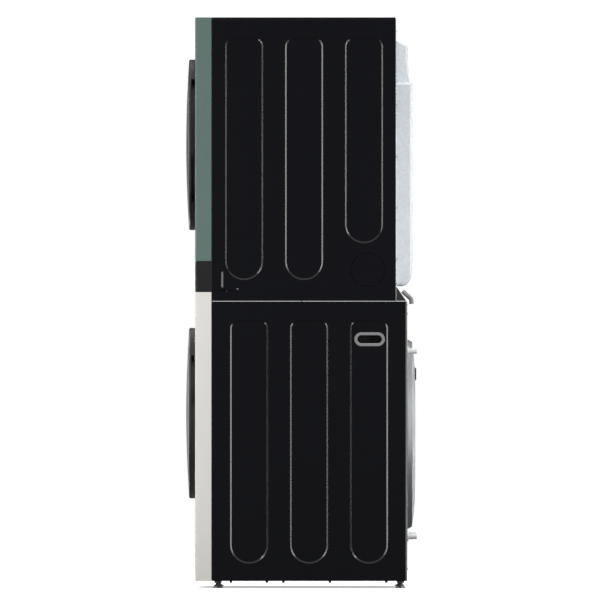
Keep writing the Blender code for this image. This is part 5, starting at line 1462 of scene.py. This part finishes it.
def build_dryer_rear():
    """The dryer's back plate, its louvres, and its screws, some through the flange of the duct cover."""
    softened("dryer_rear_panel", "galvanised", 0.0003)
    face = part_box("dryer_rear_panel")[1].y
    low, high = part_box("dryer_rear_panel")
    spots = []
    for x in (low.x + 0.012, high.x - 0.012):
        for i in range(5):
            spots.append((x, face, low.z + 0.06 + i * (high.z - low.z - 0.10) / 4))
    for side in (-1, 1):
        for i in range(4):
            spots.append((side * (DUCT_HIGH.x + 0.0055), face + 0.0012, DUCT_LOW.z + 0.09 + i * 0.17))
    screws("dryer_rear_screws", spots, REARWARD)
    if "louvres" not in bpy.data.node_groups:
        louvre_tree()
    for number, x in enumerate((-0.285, 0.285), 1):
        item = grown(
            f"dryer_louvres_{number}",
            points_mesh([]),
            bpy.data.node_groups["louvres"],
            "cabinet",
            "galvanised",
            ("galvanised", "dark"),
            Columns=2,
            Rows=14,
        )
        upright = Matrix.Rotation(-pi / 2, 4, "X") @ Matrix.Rotation(pi, 4, "Z")
        place_pattern(item, Matrix.Translation((x, face, high.z - 0.25)) @ upright)


def place_pattern(item, matrix):
    """Moves a pattern made at the origin to its place, in its mesh."""
    item.data.transform(matrix)
    item.data.update()


def build_rear_fittings():
    """The sloped transition cover, its elbow, the transit sleeves and the exhaust collar."""
    softened("transition_cover", "black_plastic", 0.0004)
    low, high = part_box("transition_cover")
    for side, word in ((-1, "left"), (1, "right")):
        outline = [(low.y - 0.0010, SEAM_Z + 0.0010), (high.y - 0.0020, SEAM_Z + 0.0010)]
        outline += [(high.y - 0.0020, SEAM_Z + 0.0035), (low.y + 0.0005, high.z - 0.0030)]
        outline += [(low.y - 0.0010, high.z - 0.0030)]
        near, far = sorted((side * (high.x - 0.0004), side * (high.x - 0.0028)))
        cheek = bar_mesh("cheek", outline, near, far, 0.0003)
        piece(f"transition_cheek_{word}", cheek, "black_plastic", "transition_cover", replace=False)
    softened("drain_elbow", "grey_plastic", 0.0003, angle=60)
    for number in range(1, 5):
        node = f"transit_sleeve_{number}"
        low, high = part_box(node)
        middle = (low + high) / 2
        length = high.y - low.y
        flange, shank = (high.x - low.x) / 2, (high.x - low.x) / 3.4
        points = [(0, 0), (flange, 0), (flange, 0.0037), (shank, 0.0040), (shank, length * 0.55)]
        points += [(shank * 0.94, length * 0.57), (shank * 0.88, length), (shank * 0.62, length)]
        points += [(shank * 0.60, length - 0.012), (0, length - 0.012)]
        frame_at = facing(REARWARD, (middle.x, low.y, middle.z))
        mesh = lathe(node, rounded_profile(points, 0.0008), 48, frame_at)
        piece(node + "_cap", mesh, "white_plastic", node)
    softened("exhaust_duct", "galvanised", 0.0, angle=60)


# ---- feet and base ---------------------------------------------------------------------------
FOOT_STEM = 0.0082
FOOT_STUD = 0.0050
FOOT_PITCH = 0.0016
NUT_RADIUS = 0.0125


def build_feet():
    """Levelling feet: a disc, a hexagon and a threaded stud."""
    for number in range(1, 5):
        node = f"foot_{number}"
        low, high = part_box(node)
        middle, radius = (low + high) / 2, (high.x - low.x) / 2
        points = [(0, 0), (radius * 0.92, 0), (radius, 0.0018), (radius * 0.97, 0.0045)]
        stem, stud, pitch = FOOT_STEM, FOOT_STUD, FOOT_PITCH
        points += [(radius * 0.62, 0.0062), (stem, 0.0064)]
        height = 0.0072
        while height < high.z - 0.030:
            points += [(stem, height), (stem - 0.0007, height + pitch / 2)]
            height += pitch
        points += [(stud, height), (stud, height + 0.0010)]
        while height < high.z - 0.004:
            points += [(stud, height + 0.0012), (stud - 0.0006, height + 0.0020)]
            height += pitch
        points += [(0, high.z)]
        frame_at = Matrix.Translation((middle.x, middle.y, 0))
        piece(node + "_threaded", lathe(node, points, 48, frame_at), "zinc", node, sharp=25)
        nut = bmesh.new()
        across = {"radius1": NUT_RADIUS, "radius2": NUT_RADIUS}
        bmesh.ops.create_cone(nut, cap_ends=True, segments=6, depth=0.006, **across)
        bmesh.ops.translate(nut, vec=(middle.x, middle.y, BASE_Z - 0.0036), verts=nut.verts)
        bmesh.ops.bevel(nut, geom=nut.edges, offset=0.0006, segments=2, profile=0.5, affect="EDGES")
        piece(node + "_lock_nut", to_mesh(nut, "nut"), "zinc", node, replace=False)


# ---- washer insides --------------------------------------------------------------------------
def catmull(points, steps):
    """A closed smooth curve through points of (radius, share)."""
    out = []
    count = len(points)
    for i in range(count):
        p0, p1, p2, p3 = (Vector(points[(i + k) % count]) for k in (-1, 0, 1, 2))
        for k in range(steps):
            t = k / steps
            point = 0.5 * ((2 * p1) + (p2 - p0) * t + (2 * p0 - 5 * p1 + 4 * p2 - p3) * t**2
                           + (3 * p1 - p0 - 3 * p2 + p3) * t**3)
            out.append((point.x, point.y))
    return out


def build_gasket():
    """The rubber bellows from the front cover to the tilted mouth of the tub."""
    low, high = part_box("door_gasket")
    mouth = high.x - 0.010
    front_y = low.y + 0.0003
    share_end = high.y - 0.0205 - front_y
    stations = [
        (mouth + 0.0085, 0.01), (mouth + 0.0095, 0.10), (mouth + 0.0020, 0.30), (mouth + 0.0092, 0.55),
        (mouth + 0.0032, 0.80), (mouth + 0.0036, 0.985), (mouth + 0.0008, 0.985), (mouth + 0.0004, 0.80),
        (mouth + 0.0056, 0.55), (mouth - 0.0016, 0.30), (mouth - 0.0022, 0.12), (mouth - 0.0020, 0.01),
    ]
    drop = share_end * tan(TILT) + 0.006
    shape = bmesh.new()
    rings = []
    for radius, share in catmull(stations, 4):
        share = min(max(share, 0.0), 1.0)
        ring = []
        for i in range(96):
            turn = 2 * pi * i / 96
            up = radius * sin(turn)
            y = front_y + share * share_end + share * up * sin(TILT)
            ring.append(shape.verts.new((radius * cos(turn), y, WASHER_DOOR_Z + up - share * drop)))
        rings.append(ring)
    for first, second in zip(rings, rings[1:] + rings[:1]):
        for i in range(96):
            j = (i + 1) % 96
            shape.faces.new((first[i], first[j], second[j], second[i]))
    bmesh.ops.recalc_face_normals(shape, faces=shape.faces)
    piece("door_bellows", to_mesh(shape, "door_bellows"), "grey_rubber", "door_gasket", sharp=60, even=False)


LIFTER_END = ((0.030, 0.0), (0.040, 0.75), (0.055, 1.0))  # from the drum's end; share of full height
LIFTER_HALF = 0.032
LIFTER_HEIGHT = 0.045


def basket(node, frame_at, radius, mouth, length, lifter, steps=128):
    """A drum with a rolled mouth and three lifters; its Z runs from the rear wall to the front."""
    wall, soft = 0.0015, 0.012
    outer = [(mouth, length - 0.004), (mouth + 0.001, length)]
    outer += [(radius - soft, length), (radius, length - soft)]
    outer += [(radius, soft), (radius - soft, 0.0), (radius * 0.45, 0.0), (0.0, 0.0)]
    inner = [(0.0, wall), (radius * 0.45, wall), (radius - soft, wall), (radius - wall, soft)]
    inner += [(radius - wall, length - soft), (radius - soft, length - wall)]
    inner += [(mouth + 0.0025, length - wall), (mouth + 0.0015, length - 0.004)]
    profile = rounded_profile(outer + inner, 0.008, 5)
    shell = lathe(node, profile, steps, frame_at, closed=True)
    shape = bmesh.new()
    shape.from_mesh(shell)
    for i in range(3):
        part = bmesh.new()
        turned = frame_at @ Matrix.Rotation(pi / 2 + i * 2 * pi / 3, 4, "Z")
        rings = []
        stations = [*LIFTER_END, *((length - height, rise) for height, rise in reversed(LIFTER_END))]
        for height, rise in stations:
            crest = radius - 0.004 - (lifter - 0.004) * rise
            ring = []
            for k in range(13):
                share = k / 12 * 2 - 1
                profile_rise = cos(share * pi / 2) ** 0.8 if abs(share) < 1 else 0.0
                across = LIFTER_HALF * share
                depth = (radius - 0.0022) * cos(across / radius) - (radius - 0.004 - crest) * profile_rise
                ring.append(part.verts.new(turned @ Vector((depth, across, height))))
            rings.append(ring)
        for first, second in zip(rings, rings[1:]):
            for k in range(12):
                part.faces.new((first[k], first[k + 1], second[k + 1], second[k]))
        bmesh.ops.recalc_face_normals(part, faces=part.faces)
        centre = turned @ Vector((0, 0, length / 2))
        face = next(iter(part.faces))
        part.normal_update()
        if (centre - face.calc_center_median()).dot(face.normal) < 0:
            bmesh.ops.reverse_faces(part, faces=part.faces)
        mesh = to_mesh(part, "lifter")
        draft = loose("lifter", mesh)
        thick = draft.modifiers.new("wall", "SOLIDIFY")
        thick.thickness = 0.0012
        thick.offset = -1
        shape.from_mesh(baked(draft))
    return piece(node + "_basket", to_mesh(shape, node), "stainless", node, sharp=45)


def build_drums():
    """Both drums, with the washer's drain holes."""
    low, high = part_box("dryer_drum")
    middle = JOINTS["dryer_drum_spin"]["pos_m"]
    radius = high.x
    frame_at = facing(FORWARD, (middle[0], high.y, middle[2]))
    basket("dryer_drum", frame_at, radius, PORTHOLE + 0.012, high.y - low.y, LIFTER_HEIGHT)
    washer = frame["nodes"]["washer_drum"].data
    along = [(vertex.co - SPIN_POINT).dot(SPIN_AXIS) for vertex in washer.vertices]
    length = max(along) - min(along)
    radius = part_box("washer_drum")[1].x
    rear = SPIN_POINT + SPIN_AXIS * min(along)
    turn = Matrix.Rotation(pi / 2 - TILT, 4, "X")
    frame_at = Matrix.Translation(rear) @ turn
    basket("washer_drum", frame_at, radius, PORTHOLE + 0.003, length, LIFTER_HEIGHT)
    sizes = bpy.context.scene.tower_sizes
    if "drum_holes" not in bpy.data.node_groups:
        drum_hole_tree()
    item = grown(
        "washer_drum_holes",
        points_mesh([]),
        bpy.data.node_groups["drum_holes"],
        "washer_drum",
        "stainless",
        ("stainless", "dark"),
        Around=sizes.perforations,
        Rows=18,
        Radius=radius - 0.0017,
        Length=length - 0.05,
        Hole_radius=0.0020,
    )
    place_pattern(item, frame_at @ Matrix.Translation((0, 0, 0.025)))


SOFTENED = {
    "detergent_drawer": ("beige_paint", 0.0008),
    "filter_flap": ("beige_paint", 0.0007),
    "dispenser_housing": ("white_plastic", 0.0004),
    "drain_pump": ("white_plastic", 0.0010),
    "base_pan": ("black_paint", 0.0004),
    "dryer_base": ("galvanised", 0.0004),
    "washer_tub": ("grey_plastic", 0.0010),
    "counterweight": ("concrete", 0.0030),
    "drum_spider": ("cast", 0.0020),
    "rotor": ("zinc", 0.0008),
    "stator": ("windings", 0.0010),
    "dryer_bulkhead": ("galvanised", 0.0008),
    "lint_filter": ("grey_plastic", 0.0008),
    "dryer_motor": ("cast", 0.0012),
    "motor_pulley": ("zinc", 0.0004),
    "blower_wheel": ("black_plastic", 0.0004),
    "blower_housing": ("grey_plastic", 0.0006),
    "tub_spring_left": ("zinc", 0.0),
    "tub_spring_right": ("zinc", 0.0),
}


def build_workings():
    """The inner workings: the frame's own meshes with their edges softened."""
    for node, (look, width) in SOFTENED.items():
        softened(node, look, width)
    softened("drive_belt", "black_rubber", 0.0003)


# ---- stage -----------------------------------------------------------------------------------
VIEW_WIDTH = 1.9866
VIEW_CENTRE = (-0.0045, 0.9542)
LENS = 1500.0
SENSOR = 36.0
SOFTBOX_X = 1.05
SOFTBOX_ROWS = (("upper", 1.43, 1.17, 1.29), ("lower", 0.46, 0.98, 1.08))
SOFTBOX_SIZE = (0.16, 0.95)
SOFTBOX_POWER = 4.0
FILL_PLACE = (4.5, 2.2)  # ahead of or behind the tower, and up
FILL_SIZE = (4.0, 3.0)
FILL_POWER = 48.0
HIGH_FILL_PLACE = (2.8, 4.4)  # beside the tower, and up
HIGH_FILL_SIZE = (2.0, 2.0)
HIGH_FILL_POWER = 95.0
SKY_ENERGY = 1.7
FLOOR_RADIUS = 14.0
FLOOR_GLOW = 0.45


def softbox(name, place, aim, size, power, mirrored=True):
    """A softbox that the camera doesn't see, and gloss sees only if it is mirrored."""
    data = bpy.data.lights.new(name, "AREA")
    data.shape = "RECTANGLE"
    data.size, data.size_y = size
    data.energy = power
    item = bpy.data.objects.new(name, data)
    item.location = place
    item.rotation_euler = (Vector(aim) - Vector(place)).to_track_quat("-Z", "Y").to_euler()
    item.visible_camera = False
    item.visible_glossy = mirrored
    bpy.context.scene.collection.objects.link(item)


def studio_world():
    """A bright backdrop for the camera and a dim room for everything else."""
    world = bpy.data.worlds.new("studio")
    bpy.context.scene.world = world
    world.use_nodes = True
    room = Tree(world.node_tree)
    world.node_tree.nodes.clear()
    seen = room.add("ShaderNodeLightPath", output="Is Camera Ray")
    dim = room.add("ShaderNodeBackground", None, {"Color": (0.95, 0.97, 1.0, 1.0), "Strength": 0.10})
    bright = room.add("ShaderNodeBackground", None, {"Color": (1.0, 1.0, 1.0, 1.0), "Strength": 1.0})
    blend = room.add("ShaderNodeMixShader", None, {0: seen, 1: dim, 2: bright})
    end = world.node_tree.nodes.new("ShaderNodeOutputWorld")
    connect(world.node_tree, end.inputs["Surface"], blend)


def build_stage():
    studio_world()
    data = bpy.data.cameras.new("camera")
    data.lens = LENS
    data.sensor_width = SENSOR
    data.clip_end = 500.0
    camera = bpy.data.objects.new("camera", data)
    reach = VIEW_WIDTH / SENSOR * LENS
    camera.location = (HALF + reach, *VIEW_CENTRE)
    camera.rotation_euler = (pi / 2, 0, pi / 2)
    bpy.context.scene.collection.objects.link(camera)
    bpy.context.scene.camera = camera
    look = Finish("studio_floor")
    tone = look.noise(1.5, 2.0)
    look.feed("Base Color", look.mix(tone, (0.90, 0.90, 0.90), (0.93, 0.93, 0.93)))
    look.feed("Roughness", 0.85 + tone * 0.05)
    look.feed("Emission Color", look.mix(tone, (0.95, 0.95, 0.95), (1.0, 1.0, 1.0)))
    look.feed("Emission Strength", FLOOR_GLOW)
    ground = Pressing((1, 0, 0), (0, 1, 0), (0, 0, -1))
    ground.flat(ground.ring(circle(0, 0, FLOOR_RADIUS, 64), 0.0))
    floor = bpy.data.objects.new("floor", ground.sheet("floor", 0))
    floor.data.materials.append(look.material)
    bpy.context.scene.collection.objects.link(floor)
    floor.visible_diffuse = False
    floor.visible_glossy = False
    middle = (0, 0, TOP_Z / 2 + 0.005)
    for side, hand in ((-1, "left"), (1, "right")):
        for level, height, front, rear in SOFTBOX_ROWS:
            for end, word in ((-front, "front"), (rear, "rear")):
                place = (side * SOFTBOX_X, end, height)
                name = f"{level}_{word}_{hand}_softbox"
                softbox(name, place, (0, 0, height), SOFTBOX_SIZE, SOFTBOX_POWER)
    for side, word in ((-1, "front"), (1, "rear")):
        softbox(f"{word}_fill", (0, side * FILL_PLACE[0], FILL_PLACE[1]), middle, FILL_SIZE, FILL_POWER)
    for side, hand in ((-1, "left"), (1, "right")):
        place = (side * HIGH_FILL_PLACE[0], 0, HIGH_FILL_PLACE[1])
        softbox(f"{hand}_high_fill", place, middle, HIGH_FILL_SIZE, HIGH_FILL_POWER, False)
    sky = bpy.data.lights.new("overhead", "SUN")
    sky.energy = SKY_ENERGY
    sky.angle = radians(120)
    bpy.context.scene.collection.objects.link(bpy.data.objects.new("overhead", sky))
    bpy.context.scene.view_settings.view_transform = "Standard"


# ---- add-on ----------------------------------------------------------------------------------
class LAUNDRY_TOWER_OT_stage(bpy.types.Operator):
    """Floor, camera and soft studio light"""

    bl_idname = "laundry_tower.stage"
    bl_label = "Stage"

    def execute(self, context):
        build_stage()
        return {"FINISHED"}


class LAUNDRY_TOWER_OT_side_panels(bpy.types.Operator):
    """Ribbed black side panels"""

    bl_idname = "laundry_tower.side_panels"
    bl_label = "Side panels"

    def execute(self, context):
        build_side_panels()
        return {"FINISHED"}


class LAUNDRY_TOWER_OT_side_trim(bpy.types.Operator):
    """Bracket and screw behind the side panel"""

    bl_idname = "laundry_tower.side_trim"
    bl_label = "Side trim"

    def execute(self, context):
        build_side_trim()
        return {"FINISHED"}


class LAUNDRY_TOWER_OT_hand_holds(bpy.types.Operator):
    """Bezels in the washer's sides"""

    bl_idname = "laundry_tower.hand_holds"
    bl_label = "Hand-holds"

    def execute(self, context):
        build_hand_holds()
        return {"FINISHED"}


class LAUNDRY_TOWER_OT_front_covers(bpy.types.Operator):
    """Green, beige and black fronts"""

    bl_idname = "laundry_tower.front_covers"
    bl_label = "Front covers"

    def execute(self, context):
        build_front_covers()
        return {"FINISHED"}


class LAUNDRY_TOWER_OT_top_panel(bpy.types.Operator):
    """The lid"""

    bl_idname = "laundry_tower.top_panel"
    bl_label = "Top panel"

    def execute(self, context):
        build_top_panel()
        return {"FINISHED"}


class LAUNDRY_TOWER_OT_doors(bpy.types.Operator):
    """Rings, windows, bowls and trim"""

    bl_idname = "laundry_tower.doors"
    bl_label = "Doors"

    def execute(self, context):
        build_doors()
        return {"FINISHED"}


class LAUNDRY_TOWER_OT_hinges(bpy.types.Operator):
    """Fixed hinge halves"""

    bl_idname = "laundry_tower.hinges"
    bl_label = "Hinges"

    def execute(self, context):
        build_hinges()
        return {"FINISHED"}


class LAUNDRY_TOWER_OT_controls(bpy.types.Operator):
    """Buttons, lamps and display"""

    bl_idname = "laundry_tower.controls"
    bl_label = "Controls"

    def execute(self, context):
        build_controls()
        return {"FINISHED"}


class LAUNDRY_TOWER_OT_washer_rear(bpy.types.Operator):
    """Rear plate of the washer"""

    bl_idname = "laundry_tower.washer_rear"
    bl_label = "Washer rear"

    def execute(self, context):
        build_washer_rear()
        return {"FINISHED"}


class LAUNDRY_TOWER_OT_access_cover(bpy.types.Operator):
    """Round cover over the motor"""

    bl_idname = "laundry_tower.access_cover"
    bl_label = "Access cover"

    def execute(self, context):
        build_access_cover()
        return {"FINISHED"}


class LAUNDRY_TOWER_OT_duct_cover(bpy.types.Operator):
    """Cover over the heater duct"""

    bl_idname = "laundry_tower.duct_cover"
    bl_label = "Duct cover"

    def execute(self, context):
        build_duct_cover()
        return {"FINISHED"}


class LAUNDRY_TOWER_OT_dryer_rear(bpy.types.Operator):
    """Rear plate of the dryer"""

    bl_idname = "laundry_tower.dryer_rear"
    bl_label = "Dryer rear"

    def execute(self, context):
        build_dryer_rear()
        return {"FINISHED"}


class LAUNDRY_TOWER_OT_rear_fittings(bpy.types.Operator):
    """Transition cover, elbow and sleeves"""

    bl_idname = "laundry_tower.rear_fittings"
    bl_label = "Rear fittings"

    def execute(self, context):
        build_rear_fittings()
        return {"FINISHED"}


class LAUNDRY_TOWER_OT_feet(bpy.types.Operator):
    """Levelling feet"""

    bl_idname = "laundry_tower.feet"
    bl_label = "Feet"

    def execute(self, context):
        build_feet()
        return {"FINISHED"}


class LAUNDRY_TOWER_OT_gasket(bpy.types.Operator):
    """Door bellows"""

    bl_idname = "laundry_tower.gasket"
    bl_label = "Gasket"

    def execute(self, context):
        build_gasket()
        return {"FINISHED"}


class LAUNDRY_TOWER_OT_drums(bpy.types.Operator):
    """Both drums"""

    bl_idname = "laundry_tower.drums"
    bl_label = "Drums"

    def execute(self, context):
        build_drums()
        return {"FINISHED"}


class LAUNDRY_TOWER_OT_workings(bpy.types.Operator):
    """Tub, motor, blower and the rest"""

    bl_idname = "laundry_tower.workings"
    bl_label = "Workings"

    def execute(self, context):
        build_workings()
        return {"FINISHED"}


OPERATORS = [
    LAUNDRY_TOWER_OT_stage,
    LAUNDRY_TOWER_OT_side_panels,
    LAUNDRY_TOWER_OT_side_trim,
    LAUNDRY_TOWER_OT_hand_holds,
    LAUNDRY_TOWER_OT_front_covers,
    LAUNDRY_TOWER_OT_top_panel,
    LAUNDRY_TOWER_OT_doors,
    LAUNDRY_TOWER_OT_hinges,
    LAUNDRY_TOWER_OT_controls,
    LAUNDRY_TOWER_OT_washer_rear,
    LAUNDRY_TOWER_OT_access_cover,
    LAUNDRY_TOWER_OT_duct_cover,
    LAUNDRY_TOWER_OT_dryer_rear,
    LAUNDRY_TOWER_OT_rear_fittings,
    LAUNDRY_TOWER_OT_feet,
    LAUNDRY_TOWER_OT_gasket,
    LAUNDRY_TOWER_OT_drums,
    LAUNDRY_TOWER_OT_workings,
]


class LAUNDRY_TOWER_PT_build(bpy.types.Panel):
    """Lists the tower's pieces in the order they are built."""

    bl_label = "Laundry tower"
    bl_space_type = "VIEW_3D"
    bl_region_type = "UI"
    bl_category = "Laundry tower"

    def draw(self, context):
        for group in (context.scene.tower_sizes, context.scene.tower_colours):
            for name in group.__annotations__:
                self.layout.prop(group, name)
        for kind in OPERATORS:
            self.layout.operator(kind.bl_idname)


CLASSES = [TowerSizes, TowerColours, *OPERATORS, LAUNDRY_TOWER_PT_build]


def register():
    for kind in CLASSES:
        bpy.utils.register_class(kind)
    bpy.types.Scene.tower_sizes = PointerProperty(type=TowerSizes)
    bpy.types.Scene.tower_colours = PointerProperty(type=TowerColours)


def unregister():
    del bpy.types.Scene.tower_colours
    del bpy.types.Scene.tower_sizes
    for kind in reversed(CLASSES):
        bpy.utils.unregister_class(kind)


def main():
    register()
    for kind in OPERATORS:
        getattr(bpy.ops.laundry_tower, kind.bl_idname.split(".")[1])()


if __name__ == "__main__":
    main()
